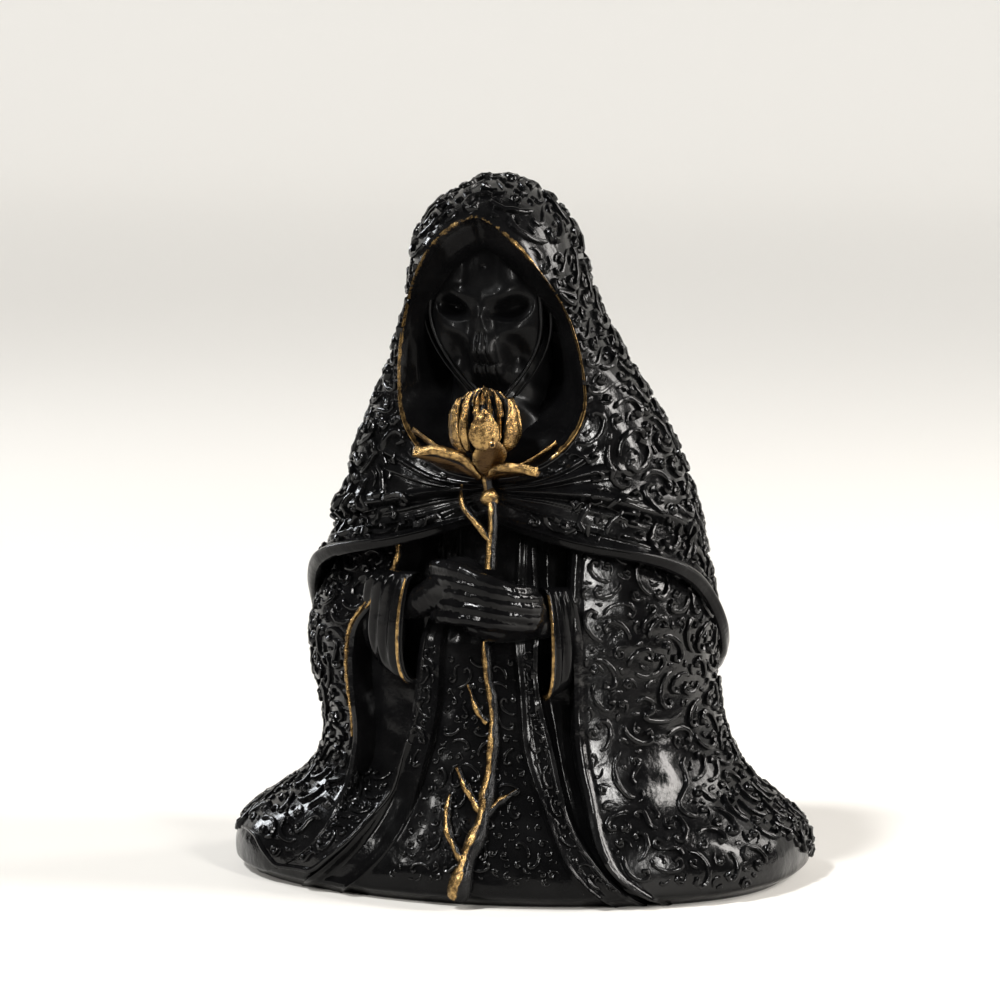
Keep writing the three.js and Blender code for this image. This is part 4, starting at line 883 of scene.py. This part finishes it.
def handRods():
    # pairs of ends with a radius at each, along every finger and wrist
    paths = [smoothPath(wrist, 5) for wrist in hands["wrists"]]
    for z, droop, shift, size in hands["fingers"]:
        path = smoothPath(hands["fingerPath"], 13)
        path[:, 2] += z - droop * smooth(-8, 11, path[:, 0])
        path[:, 0] += shift
        path[:, 3] *= size
        paths.append(path)
    return [(a, b) for path in paths for a, b in zip(path[:-1], path[1:])]


def handDistance(points, rods):
    # nearest rod, joined softly with the two palms by -k log(sum exp(-d / k))
    k = hands["blend"]
    total = 0
    for a, b in rods:
        along = (b - a)[:3]
        share = np.clip(((points - a[:3]) @ along) / (along @ along), 0, 1)
        d = np.linalg.norm(points - a[:3] - share[..., None] * along, axis=-1) - mix(a[3], b[3], share)
        total = np.maximum(total, np.exp(-d / k))
    for place, size in hands["palms"]:
        offset = (points - np.array(place)) / np.array(size)
        length = np.linalg.norm(offset, axis=-1)
        slope = np.linalg.norm(offset / np.array(size), axis=-1)
        total = total + np.exp(-(length * (length - 1) / np.maximum(slope, 1e-6)) / k)
    return -k * np.log(np.maximum(total, 1e-30))


def handsSkin():
    x = np.linspace(hands["from"], hands["to"], hands["slices"])
    axis = np.array(hands["axis"], float)
    y, z = (np.interp(x, axis[:, 0], axis[:, k]) for k in (1, 2))
    turn = np.arange(hands["around"]) / hands["around"] * fullTurn
    out = np.stack([0 * turn, -np.cos(turn), np.sin(turn)], -1)[None]
    middle = np.stack([x, y, z], -1)[:, None]
    rods = handRods()
    reach = np.full((len(x), len(turn)), hands["tube"])
    for _ in range(hands["steps"]):
        reach = np.clip(reach - 0.7 * handDistance(middle + out * reach[..., None], rods), 0.6, hands["tube"])
    points = middle + out * reach[..., None]
    uneven = 0.12 * ripple(points, 4.0, 21) + 0.05 * ripple(points, 1.6, 22)
    x, z = points[..., 0], points[..., 2]
    # painted shade over the hands, left off at the fingers' right ends and a patch high on the wrist toward -x, where
    # highlights show
    sheenLeft = np.maximum(smooth(3, 7.5, x), smooth(60, 62, z) * (1 - smooth(-7.5, -4.5, x)))
    return lofts(points + out * uneven[..., None], shade=hands["dull"] * (1 - sheenLeft))


makePiece("hands", [handsSkin()], blackLacquer)


# Rose bud, sepals, stem and twigs

bud = {
    "centre": np.array([0.4, -32.6, 94.7]), "radius": 6.2, "height": 12.6, "facing": 13.0,
    # outline: height share, radius share
    "outline": ((0, 0.55), (0.1, 0.83), (0.22, 0.95), (0.36, 1), (0.55, 0.97), (0.72, 0.9), (0.86, 0.79),
                (0.95, 0.65), (1, 0.5), (1.06, 0.3)),
    # petals: turn, width in degrees, foot, tip, standing out, thickness, where widest, curl of the tip
    "petals": (
        (0, 49, 0.02, 0.74, 0.5, 1.25, 0.85, 0.3), (-66, 38, 0.0, 0.86, 0.0, 1.15, 0.6, 0.3),
        (-38, 17, 0.03, 0.88, -0.2, 1.0, 0.7, 0.3), (59, 46, 0.0, 0.86, 0.0, 1.15, 0.6, 0.3),
        (29, 9, 0.1, 0.85, -0.7, 0.8, 0.7, 0.3), (108, 46, 0.0, 0.85, 0.0, 1.1), (-112, 46, 0.0, 0.85, 0.0, 1.1),
        (156, 44, 0.0, 0.84, -0.1, 1.1), (-158, 44, 0.0, 0.84, -0.1, 1.1),
        (-21, 16, 0.48, 0.95, -1.9, 0.9, 0.7, 0.8), (13, 15, 0.5, 0.94, -2.0, 0.9, 0.7, 0.8),
        (36, 20, 0.5, 0.97, -1.4, 0.9, 0.6, 0.5), (-50, 24, 0.5, 0.96, -1.3, 0.9, 0.6, 0.5),
        (82, 34, 0.5, 0.95, -1.3, 0.9), (-86, 34, 0.5, 0.95, -1.3, 0.9), (132, 40, 0.5, 0.95, -1.3, 0.9),
        (-135, 40, 0.5, 0.95, -1.3, 0.9), (179, 36, 0.5, 0.95, -1.3, 0.9),
        (-9, 22, 0.66, 1.0, -2.8, 0.8, 0.7, 0.8), (12, 22, 0.66, 1.0, -2.9, 0.8, 0.7, 0.8), (45, 34, 0.6, 1.0, -2.2, 0.8, 0.6, 0.5),
        (-52, 42, 0.6, 1.01, -2.2, 0.8, 0.6, 0.5), (98, 50, 0.6, 1.0, -2.2, 0.8), (-100, 50, 0.6, 1.0, -2.2, 0.8),
        (155, 54, 0.6, 1.0, -2.2, 0.8), (-155, 54, 0.6, 1.0, -2.2, 0.8),
        (20, 84, 0.82, 1.05, -3.0, 0.8), (-70, 84, 0.8, 1.04, -3.0, 0.8), (140, 110, 0.7, 1.04, -3.0, 0.8),
    ),
}


def budRadiusAt(up):
    return bud["radius"] * readTable(bud["outline"], up, 1)


def petalSkin(turn, width, foot, tip, stand, thick, fullAt=0.78, curl=0.0):
    # almond on the bud's globe: half angle (width / 2) sin(pi s^fullAt)^0.7, domed outside, flat inside
    rows, around = 36, 28
    s = np.linspace(0.01, 0.995, rows)[:, None]
    ring = np.arange(around)[None] / around * fullTurn
    across, side = np.cos(ring), np.sin(ring)
    up = mix(foot, tip, s)
    half = width / 2 * degree * np.maximum(np.sin(math.pi * s**fullAt), 0.02) ** 0.7
    angle = (turn + bud["facing"]) * degree + half * across
    rolled = 0.34 * smooth(0.72, 0.97, np.abs(across)) * smooth(0.1, 0.4, s)
    outside = np.where(side > 0, thick * np.abs(side) ** 0.75 + rolled, 0.9 * side)
    radius = budRadiusAt(up) + stand + outside - 0.5 * smooth(0.7, 1, s) + curl * smooth(0.6, 1, s)
    radius = np.maximum(radius, 0.12)
    z = bud["height"] * (up - 0.5) + 0 * angle
    points = np.stack([radius * np.sin(angle), -radius * np.cos(angle), z], -1) + bud["centre"]
    veins = 0.06 * np.sin(14 * across + 3 * s) * smooth(0, 0.4, side) + 0.12 * ripple(points, 2.6, int(turn) % 50)
    points = points + veins[..., None] * np.stack([np.sin(angle), -np.cos(angle), 0 * angle], -1)
    hollow = (np.where(side > 0.12, 0.06, 0.95) + 0.6 * (1 - smooth(0, 0.12 + 0.4 * (foot > 0.3), s))
              + 0.3 * bump(np.abs(across) - 0.66, 0.1) + 0.35 * smooth(-0.8, -2.6, stand + 0 * s))
    return lofts(points, gilt=np.ones_like(radius), hollow=hollow + 0 * radius)


def budCore():
    # dark globe inside the petals, narrower toward its top
    up = np.linspace(0, 0.97, 26)[:, None]
    turn = np.arange(40)[None] / 40 * fullTurn
    radius = budRadiusAt(up) - 1.3 - 1.7 * smooth(0.6, 0.95, up) + 0 * turn
    points = np.stack([radius * np.sin(turn), -radius * np.cos(turn), bud["height"] * (up - 0.5) + 0 * turn], -1)
    return lofts(points + bud["centre"])


def budParts():
    return [budCore()] + [petalSkin(*petal) for petal in bud["petals"]]


sepal = {
    "drop": 11.3, "dull": 1.0,
    # facing, length, half width, thickness, rise of the tip, arch, tilt in degrees, roll of the raised rim,
    # how far along it is widest
    "leaves": ((66, 12.2, 3.3, 0.5, 1.8, 0.9, -22, 0.9, 1.0), (116, 13.6, 3.0, 0.34, 6.6, -0.5, -12, 0.1, 1.0),
               (178, 12.0, 3.2, 0.4, 5.0, 0.8, 0, 0.1, 1.0), (250, 16.4, 3.0, 0.34, 8.6, 0.3, 25, 0.1, 1.0),
               (288, 13.3, 3.6, 0.55, 5.0, 1.3, 38, 1.0, 1.0), (25, 6.8, 3.4, 0.45, 8.9, -0.6, 0, 0.1, 1.5)),
    # pinhole near the tip of the front leaf: radius, height and gilt of each ring
    "pinAt": 0.9, "pin": ((0.06, 0.1, 0), (0.34, 0.12, 0), (0.42, 0.3, 0.6), (0.56, 0.34, 1.1), (0.74, -0.1, 1),
                          (0.3, -0.5, 0)),
}


def leafFrame(facing, length, rise, arch, tilt, s):
    # middle line, direction across and upward normal of a leaf that leans about its middle line
    turn = facing * degree
    along = np.array([math.sin(turn), -math.cos(turn), 0])
    across = np.array([math.cos(turn), math.sin(turn), 0])
    middle = (bud["centre"] - np.array([0, 0, sepal["drop"]]) + along * (1.0 + length * s)[..., None]
              + np.array([0, 0, 1]) * (arch * np.sin(math.pi * s**0.8) + rise * s**1.2)[..., None])
    slope = np.arctan2(1.2 * rise * s**0.2 + arch * math.pi * 0.8 * np.cos(math.pi * s**0.8), length)[..., None]
    up = np.array([0, 0, 1]) * np.cos(slope) - along * np.sin(slope)
    lean = (tilt * degree * smooth(0, 0.3, s))[..., None]
    return middle, across * np.cos(lean) + up * np.sin(lean), up * np.cos(lean) - across * np.sin(lean)


def sepalSkin(facing, length, wide, thick, rise, arch, tilt, roll, fullAt):
    # leaf along a rising arch: half width sin(pi (0.12 + 0.865 s^fullAt))^0.7, with a rolled raised rim,
    # a groove under the rim and a midrib
    rows, around = 44, 48
    s = np.linspace(0, 0.985, rows)[:, None]
    ring = np.arange(around)[None] / around * fullTurn
    u, w = np.cos(ring), np.sin(ring)
    middle, spread, lift = leafFrame(facing, length, rise, arch, tilt, s)
    foot = 0.12 - 0.1 * (fullAt > 1)
    power = 0.7 if fullAt <= 1 else 1.1
    half = wide * np.maximum(np.sin(math.pi * (foot + (0.985 - foot) * s**fullAt)), 0.01) ** power
    raised = u * (1 if tilt >= 0 else -1)
    rim = smooth(0.42, 0.7, raised) * smooth(0.08, 0.4, s) * roll
    full = mix(w, np.sign(w) * np.abs(w) ** 0.4, np.minimum(rim, 1))
    groove = roll * bump(raised - 0.44, 0.09) * smooth(0.1, 0.4, s)
    body = thick * full * (1 + rim - 0.5 * groove) + 0.12 * bump(u, 0.16) * np.sign(w) + 0.5 * u * u
    points = middle + spread * (u * half)[..., None] + lift * body[..., None]
    points = points + lift * (0.12 * ripple(points, 2.8, int(facing)) * (1 + rim))[..., None]
    # painted shade on the leaf's underside: less gold there, and the gold that stays is darker
    below = smooth(0.1, 0.8, -w)
    hollow = 0.2 * below * (1 - rim) + 0.25 * rim + 0.9 * groove + 0.08
    shade = sepal["dull"] * below * (1 - np.minimum(rim, 1)) + 0 * half
    return lofts(points, gilt=np.ones_like(half * u), hollow=hollow + 0 * half, shade=shade)


def pinhole():
    # small gilt ring with a dark middle near the tip of the front leaf, on its outside
    facing, length, _, thick, rise, arch, tilt, _, _ = sepal["leaves"][-1]
    middle, spread, lift = leafFrame(facing, length, rise, arch, tilt, np.array([sepal["pinAt"]]))
    centre, across, out = middle[0], spread[0], -lift[0]
    turn = np.arange(16)[:, None] / 16 * fullTurn
    beside = np.cross(out, across)
    rings = [centre + out * (thick + 0.12 + height) + radius * (across * np.cos(turn) + beside * np.sin(turn))
             for radius, height, _ in sepal["pin"]]
    gilt = np.array([[paint] * 16 for _, _, paint in sepal["pin"]], float)
    return lofts(np.array(rings), gilt=gilt)


stem = {
    "knot": (1.4, -32.8, 79.7), "knotRadius": 1.85,
    "free": ((0.4, -32.6, 89.0), (0.7, -32.6, 84.0), (1.4, -32.6, 80.0), (2.5, -34.4, 76.0), (2.4, -36.4, 66.0)),
    "freeRadii": (3.0, 1.2, 1.0, 0.95, 1.1),
    "freeTwig": ((2.4, -35.6, 71.6), (-0.9, -34.4, 75.0), (-3.9, -32.6, 78.2), (-4.8, -29.6, 81.4)),
    # x, height, radius on the gown
    "low": ((-2.3, 2.6, 2.2), (-0.4, 10, 1.9), (1.5, 16, 1.6), (2.3, 23, 1.35), (2.8, 31, 1.1),
            (2.4, 39, 1.0), (1.2, 44, 0.95), (0.4, 51, 0.9)),
    "twigs": (((1.6, 35.6, 0.9), (-0.6, 37.6, 0.75), (-2.9, 42.6, 0.4)),
              ((1.8, 17.6, 1.0), (4.6, 20.4, 0.85), (7.8, 22.6, 0.4)),
              ((1.3, 18.6, 1.0), (-1.6, 22.2, 0.9), (-4.3, 26.6, 0.6)),
              ((-1.0, 9.2, 1.1), (-4.4, 13.4, 0.95), (-5.6, 17.4, 0.85), (-5.4, 21.4, 0.6))),
    "sides": 20, "bark": 0.1,
}


def onGown(x, z, proud):
    angle = np.arcsin(x / readTable(cloakSections, z, 1))
    inset = mix(robe["gown"], robe["chest"], smooth(*robe["chestRows"], z)) - 0.5 + hemInset(z)
    return cloakPoint(angle, z, inset - proud)


def barkRod(path, radii, seed, up=(0, 1, 0)):
    # rod with knots and lengthwise bark; its gold is laid from the front left
    rings = rodRings(path, radii, stem["sides"], up)
    out = unit(rings - np.asarray(path)[:, None])
    bark = stem["bark"] * ripple(rings * np.array([1, 1, 0.35]), 1.4, seed)
    paint = smooth(0.12, 0.65, out @ np.array([-0.9, -0.42, 0.1]) + 0.25 * ripple(rings, 3.0, seed + 2)) * 1.15
    hollow = 0.35 * smooth(0.1, 0.9, -ripple(rings, 1.6, seed + 1))
    return lofts(rings + out * bark[..., None], gilt=paint, hollow=hollow)


def gownRod(spots, seed):
    path = smoothPath(spots, 12 * len(spots))
    knots = 1 + 0.16 * np.sin(np.linspace(0, 4.4 * len(spots), len(path)))
    return barkRod(onGown(path[:, 0], path[:, 1], path[:, 2] * 0.35), path[:, 2] * knots, seed)


def knotSkin():
    # round knot under the sepals with a spiral groove
    up = np.linspace(0.04, 0.96, 20)[:, None] * math.pi
    turn = np.arange(28)[None] / 28 * fullTurn
    radius = stem["knotRadius"] * (1 + 0.09 * np.cos(turn * 2 + 2.6 * up))
    points = np.stack([radius * np.sin(up) * np.cos(turn), radius * np.sin(up) * np.sin(turn),
                       radius * np.cos(up)], -1) + np.array(stem["knot"])
    hollow = 0.5 * smooth(0.1, 0.9, -np.cos(turn * 2 + 2.6 * up))
    return lofts(points, gilt=np.ones_like(radius), hollow=hollow)


def stemParts():
    free = smoothPath([(*p, r) for p, r in zip(stem["free"], stem["freeRadii"])], 50)
    twig = smoothPath([(*p, r) for p, r in zip(stem["freeTwig"], (0.85, 0.8, 0.75, 0.6))], 40)
    parts = [barkRod(free[:, :3], free[:, 3], 31), barkRod(twig[:, :3], twig[:, 3], 32), knotSkin()]
    return parts + [gownRod(spots, 40 + k) for k, spots in enumerate((stem["low"], *stem["twigs"]))]


makePiece("rose_bud", budParts(), antiqueGold)
makePiece("sepals", [sepalSkin(*leaf) for leaf in sepal["leaves"]] + [pinhole()], antiqueGold)
makePiece("stem_and_twigs", stemParts(), antiqueGold)


# Raised scrollwork: cords that walk over a sheet and curl as they go

scroll = {
    "cell": 0.45, "roomLow": (-70, -60, -5), "roomHigh": (70, 55, 150),
    "profile": ((-1.0, None), (-0.84, 0.74), (0.0, 1.0), (0.84, 0.74), (1.0, None)), "root": 0.4,
}
# length, turning at the head, middle and tail, half width, height, the tail's share of them,
# stations, room round it and tries
scrollKinds = (
    {"length": (8.5, 12), "turns": (14, 2, 9), "wide": 0.6, "high": 0.98, "taper": 0.8,
     "stations": 11, "gap": 1.3, "tries": 4000},
    {"length": (7.5, 10.5), "turns": (13, 0, -12), "wide": 0.6, "high": 0.98, "taper": 0.85,
     "stations": 10, "gap": 1.28, "tries": 5000},
    {"length": (6, 8.5), "turns": (16, 7, 1), "wide": 0.58, "high": 0.94, "taper": 0.5,
     "stations": 10, "gap": 1.22, "tries": 9000},
    {"length": (4, 6), "turns": (10, 4, -2), "wide": 0.56, "high": 0.86, "taper": 0.45,
     "stations": 8, "gap": 1.12, "tries": 18000},
    {"length": (2.2, 3.6), "turns": (3, 1.5, 0.5), "wide": 0.52, "high": 0.74, "taper": 0.4,
     "stations": 6, "gap": 1.02, "tries": 24000},
    {"length": (1.0, 1.6), "turns": (0, 0, 0), "wide": 0.5, "high": 0.54, "taper": 0.8,
     "stations": 4, "gap": 0.92, "tries": 24000},
)
rimScroll = {"length": (9, 9), "turns": (9, 0, 0.5), "wide": 0.5, "high": 0.75, "taper": 0.6,
             "stations": 10, "gap": 1.05, "tries": 0}


def makeSheet(points, outward, wrap):
    # tangents and outward normals of a grid, for reading between its corners
    if wrap:
        around = (np.roll(points, -1, 1) - np.roll(points, 1, 1)) / 2
    else:
        around = np.gradient(points, axis=1)
    along = np.gradient(points, axis=0)
    normal = unit(np.cross(around, along))
    normal = normal * np.where((normal * outward).sum(-1, keepdims=True) < 0, -1, 1)
    return {"points": points, "around": around, "along": along, "normal": normal, "wrap": wrap}


def readSheet(sheet, u, v):
    # bilinear reading at column u and row v
    rows, columns = sheet["points"].shape[:2]
    u = u % columns if sheet["wrap"] else np.clip(u, 0, columns - 1.001)
    v = np.clip(v, 0, rows - 1.001)
    i, j = v.astype(int), u.astype(int)
    fu, fv = (u - j)[..., None], (v - i)[..., None]
    beside = (j + 1) % columns
    return [mix(mix(f[i, j], f[i, beside], fu), mix(f[i + 1, j], f[i + 1, beside], fu), fv)
            for f in (sheet["points"], sheet["around"], sheet["along"], sheet["normal"])]


def walkSheet(sheet, u, v, heading, length, kind, flip):
    # steps of equal length; the turning is a parabola through its head, middle and tail values
    stations = kind["stations"]
    head, middle, tail = kind["turns"]
    path, lift, spots = [], [], []
    for k in range(stations):
        point, around, along, normal = readSheet(sheet, u, v)
        path.append(point)
        lift.append(unit(normal))
        spots.append((u, v))
        across = unit(around)
        upward = np.cross(lift[-1], across)
        step = length / (stations - 1)
        move = (across * np.cos(heading)[:, None] + upward * np.sin(heading)[:, None]) * step[:, None]
        uu, uv, vv = ((a * b).sum(-1) for a, b in ((around, around), (around, along), (along, along)))
        mu, mv = (move * around).sum(-1), (move * along).sum(-1)
        scale = 1 / np.maximum(uu * vv - uv * uv, 1e-9)
        u, v = u + (vv * mu - uv * mv) * scale, v + (uu * mv - uv * mu) * scale
        t = k / (stations - 1)
        turning = head * (1 - t) * (1 - 2 * t) + middle * 4 * t * (1 - t) + tail * t * (2 * t - 1)
        heading = heading + flip * turning / (stations - 1)
    return np.stack(path, 1), np.stack(lift, 1), np.stack([np.stack(s, -1) for s in spots], 1)


def ballOffsets(radius):
    reach = math.ceil(radius / scroll["cell"])
    grid = np.stack(np.meshgrid(*[np.arange(-reach, reach + 1)] * 3, indexing="ij"), -1).reshape(-1, 3)
    return grid[np.linalg.norm(grid, axis=1) * scroll["cell"] <= radius]


def keepClear(path, allowed, gap, taken):
    # takes each scroll whose line lies in free cells, and then fills the cells round it
    cells = ((path - np.array(scroll["roomLow"])) / scroll["cell"]).astype(int)
    offsets = ballOffsets(gap)
    kept = []
    for k in np.flatnonzero(allowed):
        own = cells[k]
        if taken[own[:, 0], own[:, 1], own[:, 2]].any():
            continue
        around = (own[:, None] + offsets[None]).reshape(-1, 3)
        taken[around[:, 0], around[:, 1], around[:, 2]] = True
        kept.append(k)
    return np.array(kept, int)


def cordSkins(path, lift, kind, thin):
    # flat-bottomed round section: thick at the head, thinner at the tail, sunk at both ends
    stations = path.shape[1]
    t = np.linspace(0, 1, stations)
    size = mix(1, kind["taper"], t) * (0.62 + 0.38 * np.sin(math.pi * np.clip(0.12 + 0.8 * t, 0, 1)) ** 0.5)
    size = size * (1 + 0.12 * np.sin(2.3 * np.arange(stations)))
    heading = unit(np.gradient(path, axis=1))
    aside = np.cross(heading, lift)
    ring = []
    for across, up in scroll["profile"]:
        height = -scroll["root"] if up is None else up * kind["high"] * thin
        ring.append(path + aside * (across * kind["wide"] * thin * size)[None, :, None]
                    + lift * (height * (size if up is not None else np.ones(stations)))[None, :, None])
    rings = np.stack(ring, 2)
    ends = np.stack([path[:, 0] - heading[:, 0] * 0.3, path[:, -1] + heading[:, -1] * 0.3], 1)
    return joinLofts(rings, ends - np.stack([lift[:, 0], lift[:, -1]], 1) * 0.15)


def scatterScrolls(sheet, allow, seed, taken, share=1.0, thin=1.0, gapScale=1.0, kinds=scrollKinds):
    # tries every kind in turn, the largest first, at seeded places and headings
    rng = np.random.default_rng(seed)
    rows, columns = sheet["points"].shape[:2]
    skins = []
    for kind in kinds:
        count = int(kind["tries"] * share)
        u, v = rng.uniform(0, columns, count), rng.uniform(0, rows - 1, count)
        heading = rng.uniform(0, fullTurn, count)
        length = rng.uniform(*kind["length"], count) * thin
        flip = rng.choice([-1.0, 1.0], count)
        path, lift, spots = walkSheet(sheet, u, v, heading, length, kind, flip)
        kept = keepClear(path, allow(spots, path).all(1), kind["gap"] * gapScale, taken)
        if len(kept):
            skins.append((*cordSkins(path[kept], lift[kept], kind, thin), {}))
    return skins


def emptyRoom():
    size = (np.array(scroll["roomHigh"]) - np.array(scroll["roomLow"])) / scroll["cell"]
    return np.zeros(size.astype(int), bool)


def rowScrolls(sheet, row, count, kind, taken, heading, first, last, flip):
    # a row of equal scrolls beside an edge
    u = np.linspace(first, last, count)
    path, lift, _ = walkSheet(sheet, u, np.full(count, float(row)), np.full(count, heading),
                              np.full(count, kind["length"][0]), kind, np.full(count, flip))
    kept = keepClear(path, np.ones(count, bool), kind["gap"], taken)
    return [(*cordSkins(path[kept], lift[kept], kind, 1.0), {})]


def hoodScrolls(taken):
    sheet = makeSheet(hoodOuter, hoodOuter - hood["heart"], True)
    columns = hood["columns"]

    def allow(spots, path):
        row = np.clip(spots[..., 1], 0, hoodShare.shape[0] - 1).astype(int)
        share = hoodShare[row, 0]
        side = np.abs(1 - 2 * (spots[..., 0] % columns) / columns)
        nearRim = np.linalg.norm(path - readSheet(sheet, spots[..., 0], 0 * spots[..., 1])[0], axis=-1) < 1.7
        throat = (side > 0.78) & (share > 0.12) & (share < 0.5 + 0.2 * (side > 0.85))
        return ~nearRim & (share < 0.93) & ~throat & (side < 0.93)
    skins = []
    for share, offset in ((0.05, 0), (0.085, 6)):
        row = np.interp(share, hoodShare[:, 0], np.arange(len(hoodShare)))
        for side in (-1, 1):
            first, last = (0.5 - 0.5 * side * turn for turn in (0.02, 0.6))
            skins += rowScrolls(sheet, row, 7, rimScroll, taken, 0.0 if side < 0 else math.pi,
                                first * columns + offset, last * columns + offset, float(side))
    return skins + scatterScrolls(sheet, allow, 101, taken, 2.0, 1.18, 1.1)


def cloakScrolls(taken):
    start, end = robeSheet["side"], robeSheet["back"]
    part = robeSheet["points"][:, start - 4:end + 4]
    sheet = makeSheet(part, part * np.array([1, 1, 0.0]), False)
    columns = part.shape[1]

    def allow(spots, path):
        z, column = path[..., 2], spots[..., 0]
        corner = bump(column - 0.17 * columns, 0.05 * columns) + bump(column - 0.9 * columns, 0.05 * columns)
        hem = 3.5 + 1.2 * np.sin(column / 5.0) + 6 * np.minimum(corner, 1)
        patch = np.linalg.norm((path - smoothPatch) / patchSize, axis=-1) < 1
        return (z > hem) & (z < 72) & (column > 3.4) & (column < columns - 4.4) & ~patch
    for spots in (*largeScrolls, hemHook):
        line = clothPath(spots)[None]
        keepClear(line, np.ones(1, bool), 1.5, taken)
    smoothPatch, patchSize = cloakPoint(0.9, 24.0, 0), np.array([5.0, 6.0, 8.5])
    return scatterScrolls(sheet, allow, 202, taken, 2.0)


def bandScrolls(taken):
    # smaller scrolls on the inner robe's bands and a few on the gown
    gaps = np.cumsum((0,) + robe["gapColumns"])
    first, last = gaps[2], gaps[5]
    total = robeSheet["points"].shape[1]
    leftStart = robeSheet["back"] + robeSheet["side"]
    skins = []
    for seed, a, b, low, high, share, thin in (
            (301, first, last, 4, 50, 0.5, 0.62), (302, leftStart - 1 - last, leftStart - 1 - first, 26, 50, 0.3, 0.62),
            (304, leftStart - 1 - gaps[11], leftStart - 1 - gaps[7], 6, 24, 0.4, 0.75),
            (303, leftStart + 2, total - 2, 5, 48, 0.04, 0.6)):
        part = robeSheet["points"][:, a:b + 1]
        sheet = makeSheet(part, part * np.array([1, 1, 0.0]), False)
        edge = part.shape[1] - 1.2

        def allow(spots, path):
            z, column = path[..., 2], spots[..., 0]
            return (z > low) & (z < high) & (column > 0.2) & (column < edge)
        skins += scatterScrolls(sheet, allow, seed, taken, share, thin, 0.7)
    return skins


taken = emptyRoom()
makePiece("hood_scrollwork", hoodScrolls(taken), blackLacquer)
makePiece("cloak_scrollwork", cloakScrolls(taken), blackLacquer)
makePiece("robe_scrollwork", bandScrolls(taken), blackLacquer)


# Camera, light and floor

def addCamera():
    a, e = view["azimuth"] * degree, view["elevation"] * degree
    right = Vector((math.cos(a), math.sin(a), 0))
    out = Vector((math.sin(a) * math.cos(e), -math.cos(a) * math.cos(e), math.sin(e)))
    up = out.cross(right)
    across = (view["base"][0] - view["middle"]) / view["pixelsPerMm"] * metre
    above = (view["base"][1] - view["middle"]) / view["pixelsPerMm"] * metre
    target = up * above - right * across
    camera = bpy.data.objects.new("camera", bpy.data.cameras.new("camera"))
    camera.data.lens = view["lens"]
    camera.data.sensor_width = 36
    camera.data.clip_start, camera.data.clip_end = 0.01, 20
    turn = Matrix((right, up, out)).transposed().to_4x4()
    camera.matrix_world = Matrix.Translation(target + out * view["distance"]) @ turn
    bpy.context.scene.collection.objects.link(camera)
    bpy.context.scene.camera = camera


# place, aim, width, height, power in watts, colour
softboxes = {
    "windowLeft": ((-0.9, 0.5, 0.5), (0, 0, 0.1), 0.1, 0.4, 2.8, (0.93, 0.96, 1.0)),
    "windowFrontLeft": ((-0.62, -0.7, 0.5), (0, 0, 0.07), 0.09, 0.2, 4.0, (1.0, 0.98, 0.95)),
    "windowRight": ((0.6, -0.62, 0.36), (0, 0, 0.06), 0.07, 0.26, 4.2, (1.0, 0.98, 0.95)),
    "windowFarRight": ((0.86, 0.02, 0.5), (0, 0, 0.07), 0.2, 0.5, 8.5, (1.0, 0.96, 0.92)),
    "windowBehindRight": ((0.72, 0.5, 0.5), (0, 0, 0.09), 0.2, 0.5, 3.2, (1.0, 0.96, 0.92)),
}
daylight = {"from": (-0.35, -0.5, 0.85), "strength": 2.6, "softness": 7.0}


def addLights():
    for name, (place, aim, width, height, power, colour) in softboxes.items():
        light = bpy.data.lights.new(name, "AREA")
        light.shape, light.size, light.size_y = "RECTANGLE", width, height
        light.energy, light.color = power, colour
        lamp = bpy.data.objects.new(name, light)
        lamp.location = place
        lamp.rotation_euler = (Vector(aim) - Vector(place)).to_track_quat("-Z", "Y").to_euler()
        bpy.context.scene.collection.objects.link(lamp)
    sun = bpy.data.lights.new("daylight", "SUN")
    sun.energy, sun.angle = daylight["strength"], daylight["softness"] * degree
    lamp = bpy.data.objects.new("daylight", sun)
    lamp.rotation_euler = Vector(daylight["from"]).to_track_quat("Z", "Y").to_euler()
    bpy.context.scene.collection.objects.link(lamp)
    world = bpy.data.worlds.new("room")
    world.use_nodes = True
    world.node_tree.nodes["Background"].inputs["Color"].default_value = (0.9, 0.86, 0.82, 1)
    world.node_tree.nodes["Background"].inputs["Strength"].default_value = 0.055
    bpy.context.scene.world = world
    bpy.context.scene.view_settings.view_transform = "Standard"


def addFloor():
    # pale floor that turns up softly into a back wall far behind
    y = np.concatenate([np.linspace(-3, 2.4, 8), 2.4 + 0.6 * np.sin(np.linspace(0.1, 1, 12) * math.pi / 2),
                        [3.0, 3.0]])
    z = np.concatenate([np.zeros(8), 0.6 - 0.6 * np.cos(np.linspace(0.1, 1, 12) * math.pi / 2), [1.5, 4.0]])
    x = np.array([-4.0, 4.0])
    points = np.array([(px, py, pz) for py, pz in zip(y, z) for px in x])
    faces = [(2 * k, 2 * k + 1, 2 * k + 3, 2 * k + 2) for k in range(len(y) - 1)]
    mesh = bpy.data.meshes.new("floor")
    mesh.from_pydata(points.tolist(), [], faces)
    mesh.polygons.foreach_set("use_smooth", np.ones(len(faces), bool))
    material = bpy.data.materials.new("paleFloor")
    material.use_nodes = True
    material.node_tree.nodes["Principled BSDF"].inputs["Base Color"].default_value = (0.8, 0.78, 0.74, 1)
    material.node_tree.nodes["Principled BSDF"].inputs["Roughness"].default_value = 0.6
    mesh.materials.append(material)
    floor = bpy.data.objects.new("floor", mesh)
    bpy.context.scene.collection.objects.link(floor)


addCamera()
addLights()
addFloor()
print("camera, light and floor placed")
